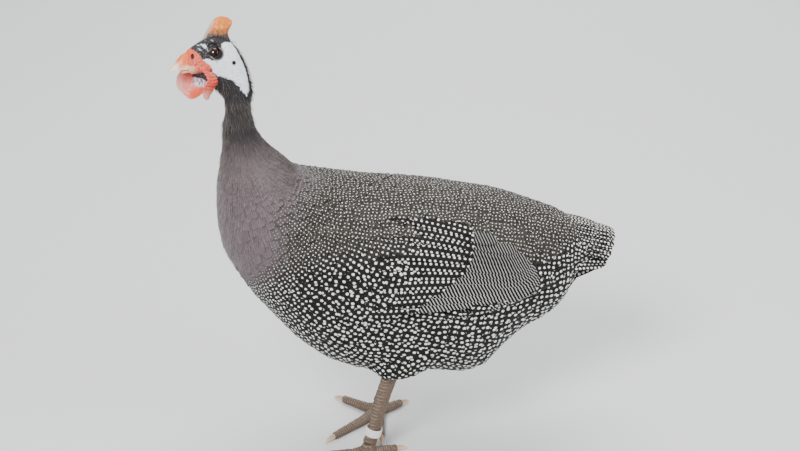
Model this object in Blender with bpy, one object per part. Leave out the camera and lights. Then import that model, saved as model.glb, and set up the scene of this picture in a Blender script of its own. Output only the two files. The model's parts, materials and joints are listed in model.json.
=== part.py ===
"""Helmeted guinea fowl, pearl-grey cock, standing: a life-size model. Metres, +Z up, bill towards -X."""

import math
import random

import bpy
import bmesh
from mathutils import Matrix, Vector
from mathutils.bvhtree import BVHTree

MM = 0.001

# Body sections in mm, tail to neck. Each is flat and runs from a point on the back to one on the
# belly or breast: back x, back z, belly x, belly z, half width over the wings, share of it
# that the wings take.
BODY = [
    (173, 207, 169, 170, 15, 0.0),
    (167, 214, 164, 155, 27, 0.0),
    (157, 220.5, 155, 139, 37, 0.0),
    (146, 227, 146, 128, 46, 0.3),
    (131, 233.5, 131, 119, 55, 0.75),
    (112, 242, 112, 111.5, 64, 1.0),
    (93, 249.5, 93, 96.5, 71, 1.0),
    (74, 254.5, 74, 76, 76, 1.0),
    (55, 258.5, 55, 73.5, 80, 1.0),
    (36, 263, 36, 77.5, 82, 1.0),
    (17, 266.5, 17, 83, 83, 1.0),
    (-2, 270, -2, 85, 83, 1.0),
    (-20, 273.5, -22, 86.5, 83, 1.0),
    (-35, 277, -45, 91.5, 82, 1.0),
    (-44, 279, -72, 105, 80, 0.9),
    (-52, 280.5, -97, 128, 78, 0.8),
    (-60, 281.5, -119.5, 157.5, 76, 0.6),
    (-69, 282.5, -138, 183, 72, 0.4),
    (-77, 284, -151, 207, 67, 0.2),
    (-84.5, 287, -158, 226, 60, 0.0),
    (-91, 292, -160.5, 246, 52, 0.0),
    (-97.5, 299.5, -160.5, 265, 43, 0.0),
    (-104, 307, -159.5, 283, 34, 0.0),
    (-110.5, 314, -157, 298, 26, 0.0),
    (-116.5, 322, -155, 312, 20, 0.0),
    (-121, 329.5, -153.5, 325, 15.5, 0.0),
    (-124.5, 338, -153.5, 337, 13, 0.0),
]
NECK_PART = 20
WING_DEPTH = 8.0
BODY_POINTS = 26

# The head stands in its own frame: f ahead, l to the bird's left, u up, from between the eyes.
HEAD_AT = (-158.6, 8.0, 405.4)
HEAD_YAW = 11.0
HEAD_ROLL = 20.0
HEAD_PITCH = 10.5
# Crown f, crown u, throat f, throat u, half width, share of the way down where it is widest.
HEAD = [
    (-37.4, -47, -13.4, -49.5, 10.8, 0.5),
    (-37.1, -40, -13, -44, 11.0, 0.5),
    (-36.4, -32.5, -11.4, -38.6, 11.3, 0.5),
    (-35, -25, -7.8, -34.4, 11.8, 0.48),
    (-32.9, -18, -4.2, -31.4, 12.3, 0.46),
    (-30.2, -10.8, -1, -29, 12.8, 0.45),
    (-26.8, -4, 1.5, -27, 13.1, 0.44),
    (-22.4, 2.6, 3.8, -25.3, 13.3, 0.43),
    (-17.5, 8.3, 6, -23.7, 13.1, 0.42),
    (-11.5, 11.8, 8.2, -22.4, 12.7, 0.42),
    (-4.5, 12.8, 10.6, -21.3, 11.9, 0.43),
    (2.5, 11.6, 13, -20.3, 10.7, 0.46),
    (8.6, 8.4, 15.3, -19.6, 9.2, 0.5),
    (14, 4.8, 17.5, -19.1, 7.7, 0.54),
    (18, 1.8, 19.5, -18.8, 6.5, 0.58),
    (20.5, 0.0, 20.8, -18.6, 5.9, 0.6),
]
HEAD_POINTS = 18
GAP = 0.3
SHORT_EDGE = 0.00006

EYE_AT = (0.0, 7.4, 0.0)
EYE_R = 6.8
EYE_FLAT = 0.78

# Horn of the upper and the lower bill: f, top u, bottom u, half width.
BILL_UPPER = [
    (21.2, -0.6, -16.3, 5.8),
    (23.5, -2.2, -16.6, 5.4),
    (26.0, -4.5, -16.9, 4.9),
    (28.6, -7.6, -17.1, 4.2),
    (31.0, -11.2, -17.5, 3.3),
    (33.0, -14.8, -18.2, 2.3),
    (34.6, -18.0, -19.8, 1.2),
]
BILL_LOWER = [
    (21.4, -16.9, -21.0, 5.2),
    (23.5, -17.1, -21.8, 4.7),
    (26.0, -17.4, -22.0, 4.0),
    (28.6, -17.7, -21.5, 3.1),
    (31.0, -18.4, -20.6, 1.9),
]

# Casque: u, front f, back f, half thickness.
CASQUE = [
    (6.0, 9.0, -19.0, 5.6),
    (10.0, 7.4, -17.2, 5.5),
    (12.8, 5.9, -15.4, 5.1),
    (15.6, 4.8, -14.8, 4.8),
    (18.2, 3.4, -15.6, 4.5),
    (21.0, 1.8, -17.0, 4.2),
    (23.6, 0.3, -18.6, 3.7),
    (26.2, -1.6, -18.2, 3.1),
    (28.4, -4.4, -15.0, 2.2),
    (29.5, -7.4, -11.0, 1.1),
]

FOOT_LEFT = (-34.0, -32.0)
FOOT_RIGHT = (-11.0, 34.0)
HOCK_LEFT = (-12.0, -33.0, 92.0)
HOCK_RIGHT = (13.0, 35.0, 92.0)
# Toe name, bearing of the left foot's and the right foot's toe, length without the claw.
TOES = [
    ("inner", 171.0, 262.0, 40.0),
    ("middle", 211.0, 212.0, 58.0),
    ("outer", 251.0, 133.0, 42.0),
    ("hind", 8.0, 27.0, 28.0),
]
TOE_R = 4.7
TOE_SCUTES = {"inner": 6, "middle": 8, "outer": 7, "hind": 4}
SHANK_SCUTES = 11
SCUTE_STEP = 0.5


def clear_scene():
    for obj in list(bpy.data.objects):
        bpy.data.objects.remove(obj, do_unlink=True)
    for mesh in list(bpy.data.meshes):
        bpy.data.meshes.remove(mesh)


def material(name, colour, roughness, specular=0.4):
    mat = bpy.data.materials.new(name)
    mat.use_nodes = True
    shader = mat.node_tree.nodes["Principled BSDF"]
    shader.inputs["Base Color"].default_value = (*colour, 1.0)
    shader.inputs["Roughness"].default_value = roughness
    shader.inputs["Specular IOR Level"].default_value = specular
    mat.diffuse_color = (*colour, 1.0)
    return mat


def make_collection(name, hidden=False):
    col = bpy.data.collections.new(name)
    bpy.context.scene.collection.children.link(col)
    col.hide_render = hidden
    return col


def to_object(name, bm, mat, col):
    bmesh.ops.recalc_face_normals(bm, faces=bm.faces)
    mesh = bpy.data.meshes.new(name)
    bm.to_mesh(mesh)
    bm.free()
    mesh.materials.append(mat)
    obj = bpy.data.objects.new(name, mesh)
    col.objects.link(obj)
    return obj


def helper(name, bm, col):
    obj = to_object(name, bm, bpy.data.materials["helper"], col)
    obj.hide_render = True
    obj.display_type = "WIRE"
    return obj


def add_loft(bm, rings, pole_start=None, pole_end=None):
    """A closed tube through rings of equal length, ended flat or at a pole."""
    rows = [[bm.verts.new(p) for p in ring] for ring in rings]
    count = len(rows[0])
    for low, high in zip(rows, rows[1:]):
        for i in range(count):
            j = (i + 1) % count
            bm.faces.new((low[i], low[j], high[j], high[i]))
    for row, pole, turn in ((rows[0], pole_start, False), (rows[-1], pole_end, True)):
        if pole is None:
            bm.faces.new(row if turn else list(reversed(row)))
            continue
        tip = bm.verts.new(pole)
        for i in range(count):
            j = (i + 1) % count
            bm.faces.new((row[i], row[j], tip) if turn else (row[j], row[i], tip))
    return rows


def loft(rings, pole_start=None, pole_end=None):
    bm = bmesh.new()
    add_loft(bm, rings, pole_start, pole_end)
    bmesh.ops.triangulate(bm, faces=bm.faces)
    return bm


def section(inner, outer, lateral, level, points, power=0.92):
    """An oval ring from the inner to the outer point; lateral is its half-width vector."""
    ring = []
    for i in range(points):
        a = 2 * math.pi * i / points
        c = math.cos(a)
        share = level * (1 - c) if c > 0 else level - (1 - level) * c
        s = math.sin(a)
        side = math.copysign(abs(s) ** power, s)
        ring.append(inner.lerp(outer, share) + lateral * side)
    return ring


def head_matrix():
    yaw = math.radians(HEAD_YAW)
    roll = math.radians(HEAD_ROLL)
    ahead = Vector((-math.cos(yaw), -math.sin(yaw), 0))
    flat_left = Vector((math.sin(yaw), -math.cos(yaw), 0))
    left = flat_left * math.cos(roll) + Vector((0, 0, math.sin(roll)))
    up = Vector((0, 0, math.cos(roll))) - flat_left * math.sin(roll)
    pitch = math.radians(HEAD_PITCH)
    ahead, up = (ahead * math.cos(pitch) + up * math.sin(pitch),
                 up * math.cos(pitch) - ahead * math.sin(pitch))
    at = Vector(HEAD_AT) * MM
    mat = Matrix((ahead, left, up)).transposed().to_4x4()
    mat.translation = at
    return mat


HEAD_M = head_matrix()


def head_point(f, left, u):
    return HEAD_M @ (Vector((f, left, u)) * MM)


def head_ring(row, points, power=0.92):
    crown_f, crown_u, throat_f, throat_u, half, level = row
    lateral = (HEAD_M.to_3x3() @ Vector((0, 1, 0))) * half * MM
    return section(head_point(crown_f, 0, crown_u), head_point(throat_f, 0, throat_u),
                   -lateral, level, points, power)


def ring_normal(ring):
    centre = sum(ring, Vector()) / len(ring)
    quarter = len(ring) // 4
    return (ring[0] - centre).cross(ring[quarter] - centre).normalized()


def shift_ring(ring, along, distance):
    normal = ring_normal(ring)
    if normal.dot(along) < 0:
        normal.negate()
    return [p + normal * distance for p in ring]


def body_ring(row, wings):
    back_x, back_z, belly_x, belly_z, half, share = row
    half = half - (0 if wings else WING_DEPTH * share)
    inner = Vector((back_x, 0, back_z)) * MM
    outer = Vector((belly_x, 0, belly_z)) * MM
    return section(inner, outer, Vector((0, half * MM, 0)), 0.47, BODY_POINTS)


def neck_top_rings():
    """Rings that carry the neck on from the body's table to the head's lowest ring."""
    last = body_ring(BODY[-1], True)
    first = head_ring(HEAD[0], BODY_POINTS)
    first = shift_ring(first, Vector((0, 0, -1)), GAP * MM)
    rings = []
    for t in (0.25, 0.5, 0.75):
        rings.append([a.lerp(b, t) for a, b in zip(last, first)])
    rings.append(first)
    return rings


def boolean(obj, others, operation, solver="MANIFOLD"):
    """Union or difference with a list of closed objects, applied; the others are removed."""
    tools = bpy.data.collections.new("tools")
    for other in others:
        tools.objects.link(other)
    mod = obj.modifiers.new("boolean", "BOOLEAN")
    mod.operation = operation
    mod.solver = solver
    mod.operand_type = "COLLECTION"
    mod.collection = tools
    bpy.context.view_layer.update()
    graph = bpy.context.evaluated_depsgraph_get()
    mesh = bpy.data.meshes.new_from_object(obj.evaluated_get(graph))
    obj.modifiers.remove(mod)
    old = obj.data
    obj.data = mesh
    bpy.data.meshes.remove(old)
    for other in others:
        bpy.data.objects.remove(other, do_unlink=True)
    bpy.data.collections.remove(tools)
    mesh.name = obj.name
    return obj


def inflated(obj, distance, col):
    """A helper copy with every point moved out along its normal, to cut a neighbour clear."""
    bm = bmesh.new()
    bm.from_mesh(obj.data)
    bm.normal_update()
    moves = [(v, v.co + v.normal * distance * max(1.0, v.calc_shell_factor())) for v in bm.verts]
    for v, co in moves:
        v.co = co
    return helper("clear_" + obj.name, bm, col)


def collapse_short(bm, length):
    """Closes edges shorter than length wherever that leaves the surface closed and simple."""
    while True:
        done = True
        for edge in sorted(bm.edges, key=lambda e: e.calc_length()):
            if edge.calc_length() > length:
                break
            a, b = edge.verts
            near_a = {e.other_vert(a) for e in a.link_edges}
            near_b = {e.other_vert(b) for e in b.link_edges}
            if len(near_a & near_b) != 2 or len(edge.link_faces) != 2:
                continue
            if min(len(near_a), len(near_b)) < 4 and max(len(near_a), len(near_b)) < 5:
                continue
            bmesh.ops.pointmerge(bm, verts=[a, b], merge_co=a.co.copy())
            done = False
            break
        if done:
            return


def drop_flaps(bm):
    """Removes pairs of faces that lie back to back on the same three points."""
    pairs = {}
    for face in bm.faces:
        pairs.setdefault(frozenset(face.verts), []).append(face)
    flaps = [face for group in pairs.values() if len(group) > 1 for face in group]
    if flaps:
        bmesh.ops.delete(bm, geom=flaps, context="FACES")


def keep_largest(obj):
    """Keeps the largest closed surface of the mesh, with split flats and slivers closed."""
    bm = bmesh.new()
    bm.from_mesh(obj.data)
    bmesh.ops.triangulate(bm, faces=bm.faces, ngon_method="EAR_CLIP")
    bm.faces.ensure_lookup_table()
    bm.faces.index_update()
    seen = set()
    shells = []
    for start in bm.faces:
        if start.index in seen:
            continue
        seen.add(start.index)
        stack = [start]
        shell = []
        while stack:
            face = stack.pop()
            shell.append(face)
            for edge in face.edges:
                for near in edge.link_faces:
                    if near.index not in seen:
                        seen.add(near.index)
                        stack.append(near)
        volume = 0.0
        for face in shell:
            a, b, c = (v.co for v in face.verts)
            volume += a.dot(b.cross(c))
        shells.append((volume, shell))
    shells.sort(key=lambda item: item[0])
    drop = [face for _, shell in shells[:-1] for face in shell]
    if drop:
        bmesh.ops.delete(bm, geom=drop, context="FACES")
    collapse_short(bm, SHORT_EDGE)
    drop_flaps(bm)
    bm.to_mesh(obj.data)
    bm.free()
    return obj


def sphere(name, centre, radius, col, scale=(1, 1, 1), turn=None, u=20, v=12):
    bm = bmesh.new()
    bmesh.ops.create_uvsphere(bm, u_segments=u, v_segments=v, radius=radius)
    mat = Matrix.Diagonal((*scale, 1.0))
    mat = (turn.to_4x4() if turn else Matrix.Identity(4)) @ mat
    mat = Matrix.Translation(centre) @ mat
    bmesh.ops.transform(bm, matrix=mat, verts=bm.verts)
    bmesh.ops.triangulate(bm, faces=bm.faces)
    return helper(name, bm, col)


def oval_ring(centre, across, up, points, power=1.0):
    ring = []
    for i in range(points):
        a = 2 * math.pi * i / points
        c = math.cos(a)
        s = math.sin(a)
        c = math.copysign(abs(c) ** power, c)
        s = math.copysign(abs(s) ** power, s)
        ring.append(centre + across * c + up * s)
    return ring


# Place along a vane, share of its half width, share of its thickness.
VANE_SHAPE = [(0.0, 0.7, 1.5), (0.45, 1.0, 1.1), (0.92, 0.78, 0.85)]
VANE_EDGE = 0.7
VANE_THICK = 0.8


def add_vane(bm, path, normals, half, roll, tip, thick=VANE_THICK):
    """One closed feather vane: a thin plate with a raised shaft line, both faces cut alike."""
    rows = []
    last = len(path) - 1
    for i, (_, wide, depth) in enumerate(VANE_SHAPE):
        ahead = (path[min(i + 1, last)] - path[max(i - 1, 0)]).normalized()
        normal = (normals[i] - ahead * normals[i].dot(ahead)).normalized()
        side = ahead.cross(normal)
        row = []
        for s in (-1, 0, 1):
            reach = half * wide * s
            rise = roll * reach - 0.04 * abs(reach)
            mid = path[i] + side * (reach * MM) + normal * (rise * MM)
            deep = thick * depth * (1 if s == 0 else VANE_EDGE) * 0.5 * MM
            row.append((bm.verts.new(mid + normal * deep), bm.verts.new(mid - normal * deep)))
        rows.append(row)
    for a, b in zip(rows, rows[1:]):
        for k in (0, 1):
            for layer in (0, 1):
                quad = (a[k][layer], b[k][layer], b[k + 1][layer], a[k + 1][layer])
                if layer:
                    bm.faces.new((quad[0], quad[3], quad[2]))
                    bm.faces.new((quad[0], quad[2], quad[1]))
                else:
                    bm.faces.new((quad[0], quad[1], quad[2]))
                    bm.faces.new((quad[0], quad[2], quad[3]))
        for k, turn in ((0, 1), (2, -1)):
            quad = (a[k][0], a[k][1], b[k][1], b[k][0])[::turn]
            bm.faces.new(quad[:3])
            bm.faces.new((quad[0], quad[2], quad[3]))
    first = rows[0]
    for k in (0, 1):
        bm.faces.new((first[k][0], first[k + 1][0], first[k + 1][1], first[k][1]))
    end = bm.verts.new(tip)
    outline = [rows[-1][0][0], rows[-1][1][0], rows[-1][2][0], rows[-1][2][1], rows[-1][1][1],
               rows[-1][0][1]]
    for k in range(6):
        bm.faces.new((outline[k], outline[(k + 1) % 6], end))


def vane_object(name, path, normals, half, roll, tip, tools, thick=VANE_THICK):
    bm = bmesh.new()
    add_vane(bm, path, normals, half, roll, tip, thick)
    bmesh.ops.triangulate(bm, faces=bm.faces)
    return helper(name, bm, tools)


def tube(name, points, radius, tools, count=6):
    """A thin round-ended bar along a line of points, for lips, rims and folds."""
    rings = []
    last = len(points) - 1
    for i, p in enumerate(points):
        ahead = (points[min(i + 1, last)] - points[max(i - 1, 0)]).normalized()
        side = ahead.orthogonal().normalized()
        up = ahead.cross(side)
        r = radius * (0.55 if i in (0, last) else 1.0) * MM
        rings.append(oval_ring(p, side * r, up * r, count))
    steady = [rings[0]]
    for ring in rings[1:]:
        shift = min(range(count), key=lambda k: (ring[k] - steady[-1][0]).length)
        steady.append(ring[shift:] + ring[:shift])
    start = points[0] + (points[0] - points[1]).normalized() * radius * 0.5 * MM
    end = points[-1] + (points[-1] - points[-2]).normalized() * radius * 0.5 * MM
    return helper(name, loft(steady, start, end), tools)


def body_parts(col, mats):
    full = loft([body_ring(row, True) for row in BODY])
    tree = BVHTree.FromBMesh(full)
    full.free()
    torso_rings = [body_ring(row, False) for row in BODY[:NECK_PART + 1]]
    torso_rings[-1] = shift_ring(torso_rings[-1], Vector((1, 0, -0.5)), GAP / 2 * MM)
    torso = to_object("torso", loft(torso_rings), mats["body_plumage"], col)
    neck_rings = [body_ring(row, False) for row in BODY[NECK_PART:]]
    neck_rings[0] = shift_ring(neck_rings[0], Vector((-1, 0, 0.5)), GAP / 2 * MM)
    neck = to_object("neck", loft(neck_rings + neck_top_rings()), mats["neck_plumage"], col)
    return tree, torso, neck


def head_side(tree, f, u, side, lift):
    """Point on the head's side at f, u, raised by lift mm."""
    out = HEAD_M.to_3x3() @ Vector((0, side, 0))
    hit, normal, _, _ = tree.ray_cast(head_point(f, 0, u), out)
    if normal.dot(out) < 0:
        normal = -normal
    return hit + normal * lift * MM


LID_RING = (5.4, 4.9, 1.1)
MOUTH = [(20.4, -16.6), (17.0, -16.5), (13.8, -16.1), (10.8, -15.4)]
NOSTRIL = (17.2, -5.0)
EAR = (-17.1, -9.2)


def head_forms(head, tools):
    """Raised forms of the head: lids, brow, lips, nostril rims, ear rims and throat folds."""
    tree = BVHTree.FromPolygons([v.co.copy() for v in head.data.vertices],
                                [tuple(p.vertices) for p in head.data.polygons])
    turn = HEAD_M.to_3x3()
    forms = []
    for side in (1, -1):
        across = turn @ Vector((1, 0, 0))
        up = turn @ Vector((0, 0, 1))
        out = turn @ Vector((0, side, 0))
        eye = head_point(*Vector((EYE_AT[0], EYE_AT[1] * side, EYE_AT[2])))
        for start, end, rise in ((-4, 184, 3.3), (194, 346, 3.1)):
            line = []
            for i in range(7):
                a = math.radians(start + (end - start) * i / 6)
                reach = across * math.cos(a) * LID_RING[0] + up * math.sin(a) * LID_RING[1]
                line.append(eye + (reach + out * rise) * MM)
            forms.append(tube("lid", line, LID_RING[2], tools, 5))
        brow = [head_side(tree, f, u, side, 0.1) for f, u in ((6.8, 3.2), (3.4, 6.6), (-1, 7.9),
                                                             (-5.6, 7.0))]
        forms.append(tube("brow", brow, 1.3, tools, 5))
        for shift, radius in ((1.15, 1.0), (-1.15, 0.95)):
            lip = [head_side(tree, f, u + shift, side, 0.15) for f, u in MOUTH[1:]]
            forms.append(tube("lip", lip, radius, tools, 5))
        corner = head_side(tree, 10.0, -15.4, side, -0.5)
        forms.append(sphere("gape", corner, 2.0 * MM, tools, u=7, v=5))
        nose = head_side(tree, NOSTRIL[0], NOSTRIL[1], side, -0.6)
        forms.append(sphere("nostril", nose, 1.0 * MM, tools, (2.2, 1.7, 3.6), turn, 7, 5))
        ear = head_side(tree, EAR[0], EAR[1], side, -1.0)
        forms.append(sphere("ear", ear, 1.0 * MM, tools, (2.9, 1.7, 2.9), turn, 7, 5))
        for f, u, long, radius in ((1.0, -19.0, 8.0, 1.2),):
            fold = [head_side(tree, f + long * (t - 0.5), u + 1.6 * (t - 0.5) ** 2, side, 0.15)
                    for t in (0, 0.33, 0.67, 1)]
            forms.append(tube("fold", fold, radius, tools, 5))
    return forms


def head_cuts(head, tools):
    """Hollows of the head: line of the mouth, nostrils and ear openings."""
    tree = BVHTree.FromPolygons([v.co.copy() for v in head.data.vertices],
                                [tuple(p.vertices) for p in head.data.polygons])
    turn = HEAD_M.to_3x3()
    cuts = []
    for side in (1, -1):
        nose = head_side(tree, NOSTRIL[0] + 0.2, NOSTRIL[1], side, 0.1)
        cuts.append(sphere("nostril", nose, 1.0 * MM, tools, (0.95, 1.4, 2.1), turn, 6, 5))
        ear = head_side(tree, EAR[0], EAR[1], side, 0.2)
        cuts.append(sphere("ear", ear, 1.0 * MM, tools, (1.6, 2.0, 1.6), turn, 6, 5))
        rows = []
        for f, u in [(21.6, -16.6)] + MOUTH[1:]:
            inner = 0.55
            wide = 12.0
            rows.append([head_point(f, inner * side * 6, u - 0.22), head_point(f, wide * side, u - 0.22),
                         head_point(f, wide * side, u + 0.22), head_point(f, inner * side * 6, u + 0.22)])
        cuts.append(helper("mouth", loft(rows), tools))
    return cuts


def head_clearance(tools):
    """Cutters a little larger than the closed head and its raised forms, one for each."""
    plain = helper("plain", loft([head_ring(row, HEAD_POINTS) for row in HEAD]), tools)
    solid = [plain] + head_forms(plain, tools)
    cutters = [inflated(obj, GAP * MM, tools) for obj in solid]
    for obj in solid:
        bpy.data.objects.remove(obj, do_unlink=True)
    return cutters


def head_parts(col, tools, mats):
    rings = [head_ring(row, HEAD_POINTS) for row in HEAD]
    head = to_object("head", loft(rings), mats["head_skin"], col)
    eyes = []
    sockets = []
    for side, name in ((1, "eye_left"), (-1, "eye_right")):
        at = head_point(EYE_AT[0], EYE_AT[1] * side, EYE_AT[2])
        turn = HEAD_M.to_3x3() @ Matrix.Rotation(math.radians(-90 * side), 3, "X")
        ball = sphere(name, at, EYE_R * MM, tools, (1, 1, EYE_FLAT), turn, 12, 9)
        flat = (EYE_R * EYE_FLAT + GAP) / (EYE_R + GAP)
        sockets.append(sphere("socket", at, (EYE_R + GAP) * MM, tools, (1, 1, flat), turn, 12, 9))
        tools.objects.unlink(ball)
        col.objects.link(ball)
        ball.hide_render = False
        ball.display_type = "TEXTURED"
        ball.data.materials[0] = mats["eye"]
        eyes.append(ball)
    boolean(head, head_forms(head, tools), "UNION")
    boolean(head, sockets + head_cuts(head, tools), "DIFFERENCE")
    keep_largest(head)

    casque_rings = []
    for u, front, back, half in CASQUE:
        centre = head_point((front + back) / 2, 0, u)
        across = (HEAD_M.to_3x3() @ Vector((1, 0, 0))) * (front - back) / 2 * MM
        side = (HEAD_M.to_3x3() @ Vector((0, 1, 0))) * half * MM
        casque_rings.append(oval_ring(centre, across, side, 12, 0.9))
    casque = to_object("casque", loft(casque_rings), mats["casque_horn"], col)
    near = head_clearance(tools) + [inflated(eye, GAP * MM, tools) for eye in eyes]
    boolean(casque, near, "DIFFERENCE")
    keep_largest(casque)

    bills = []
    for name, table, tip in (("bill_upper", BILL_UPPER, (35.3, 0, -20.4)),
                             ("bill_lower", BILL_LOWER, (32.6, 0, -19.8))):
        bill_rings = []
        for f, top, bottom, half in table:
            base, crest = (bottom, top) if name == "bill_upper" else (top, bottom)
            ring = []
            for k in range(9):
                a = math.pi * k / 8
                ring.append(head_point(f, half * math.copysign(abs(math.cos(a)) ** 0.8, math.cos(a)),
                                       base + (crest - base) * math.sin(a) ** 0.9))
            ring += [head_point(f, -half * 0.5, base), head_point(f, half * 0.5, base)]
            bill_rings.append(ring)
        bills.append(to_object(name, loft(bill_rings, pole_end=head_point(*tip)),
                               mats["bill_horn"], col))
    return head, eyes, casque, bills


# Wattle outline from root to tip: share of the length, half width in mm.
WATTLE = [
    (0.0, 5.5), (0.1, 8.2), (0.22, 10.4), (0.35, 11.8), (0.48, 12.4), (0.61, 12.0), (0.74, 10.6),
    (0.85, 8.2), (0.94, 5.2),
]
WATTLE_THICK = 2.1
WATTLE_FOLD = 0.35


def wattle_mesh(root, down, across, face, length, cup, bow):
    """A cupped disc that hangs from root along down; face is the hollow side's direction."""
    rings = []
    columns = 8
    for step, (share, half) in enumerate(WATTLE):
        back = bow * math.sin(math.pi * share)
        centre = root + down * (length * share * MM) - face * (back * MM)
        fold = WATTLE_FOLD * (1 if step % 2 else -1)
        ring = []
        for layer in (1, -1):
            for i in range(columns + 1):
                s = (-1 + 2 * i / columns) * layer
                thick = WATTLE_THICK * 0.5 * (1 + 0.25 * abs(s) ** 3)
                if abs(s) == 1:
                    thick *= 0.45
                    s *= 1.03
                hollow = cup * (half / 12.4) * s * s + fold * (1 - s * s)
                ring.append(centre + across * (half * s * MM)
                            + face * ((hollow + layer * thick) * MM))
        rings.append(ring)
    tip = root + down * (length * MM) + face * (0.4 * MM)
    return loft(rings, pole_end=tip)


# Name, root, hanging direction, hollow side's direction, length, cup and bow in mm.
WATTLES = [
    ("wattle_left", (8.5, 9.0, -14.5), (-0.10, 0.17, -0.98), (0.93, -0.36, -0.10), 27.5, 6.5, 5.0),
    ("wattle_right", (8.0, -8.0, -18.0), (0.36, -0.16, -0.92), (0.62, 0.78, 0.10), 25.5, 6.0, 3.5),
]


def wattle_parts(col, tools, mats):
    turn = HEAD_M.to_3x3()
    made = []
    for name, root, down, face, length, cup, bow in WATTLES:
        down_v = (turn @ Vector(down)).normalized()
        face_v = turn @ Vector(face)
        face_v = (face_v - down_v * face_v.dot(down_v)).normalized()
        across = down_v.cross(face_v)
        bm = wattle_mesh(head_point(*root), down_v, across, face_v, length, cup, bow)
        obj = to_object(name, bm, mats["wattle_skin"], col)
        near = head_clearance(tools) + [inflated(other, GAP * MM, tools) for other in made]
        boolean(obj, near, "DIFFERENCE")
        made.append(keep_largest(obj))
    return made


def read_rows(rows, t):
    """Straight-line reading of rows whose first value is their place."""
    for low, high in zip(rows, rows[1:]):
        if t <= high[0]:
            k = (t - low[0]) / (high[0] - low[0])
            return [a + (b - a) * k for a, b in zip(low[1:], high[1:])]
    return list(rows[-1][1:])


def shank_mesh(ankle, hock, rows):
    """The bare shank, with broad scutes that overlap downwards on its front and back."""
    axis = (hock - ankle).normalized()
    fore = Vector((-1, 0, 0))
    fore = (fore - axis * fore.dot(axis)).normalized()
    side = axis.cross(fore)
    first = rows[0][0]
    rings = []
    for k in range(SHANK_SCUTES):
        low = first + (1 - first) * k / SHANK_SCUTES
        high = first + (1 - first) * (k + 0.86) / SHANK_SCUTES
        for t, step in ((low, SCUTE_STEP), (high, 0.0)):
            across, deep = read_rows(rows, t)
            ring = []
            for i in range(10):
                a = 2 * math.pi * i / 10
                c = math.cos(a)
                plate = step * (max(0.0, c) ** 0.5 if c > 0.2 else 0.5 * max(0.0, -c))
                ring.append(ankle.lerp(hock, t) + (fore * c * (deep + plate)
                            + side * math.sin(a) * (across + plate * 0.5)) * MM)
            rings.append(ring)
    return loft(rings)


def toe_mesh(foot, out, across, length, name):
    """A toe with transverse scutes on top, each with its far edge raised."""
    rings = []
    count = TOE_SCUTES[name]
    for k in range(count):
        for t, step in ((k / count, 0.0), ((k + 0.85) / count, SCUTE_STEP)):
            t = min(t * count / (count - 0.15), 1.0)
            r = TOE_R * (1.16 - 0.4 * t)
            pad = 0.25 * math.sin(math.pi * (t * 3 % 1.0))
            lift = 4.2 - 0.9 * t + (3.4 * (1 - t / 0.3) if t < 0.3 else 0)
            centre = foot + (out * (2 + (length - 2) * t) + Vector((0, 0, lift))) * MM
            ring = []
            for i in range(8):
                a = 2 * math.pi * (i + 0.5) / 8
                high = math.sin(a)
                plate = step * max(0.0, high) ** 0.5 if high > 0 else 0.0
                ring.append(centre + across * (r * 0.96 + pad) * math.cos(a) * MM
                            + Vector((0, 0, (r * 1.02 + plate) * high * MM)))
            rings.append(ring)
    return loft(rings)


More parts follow.
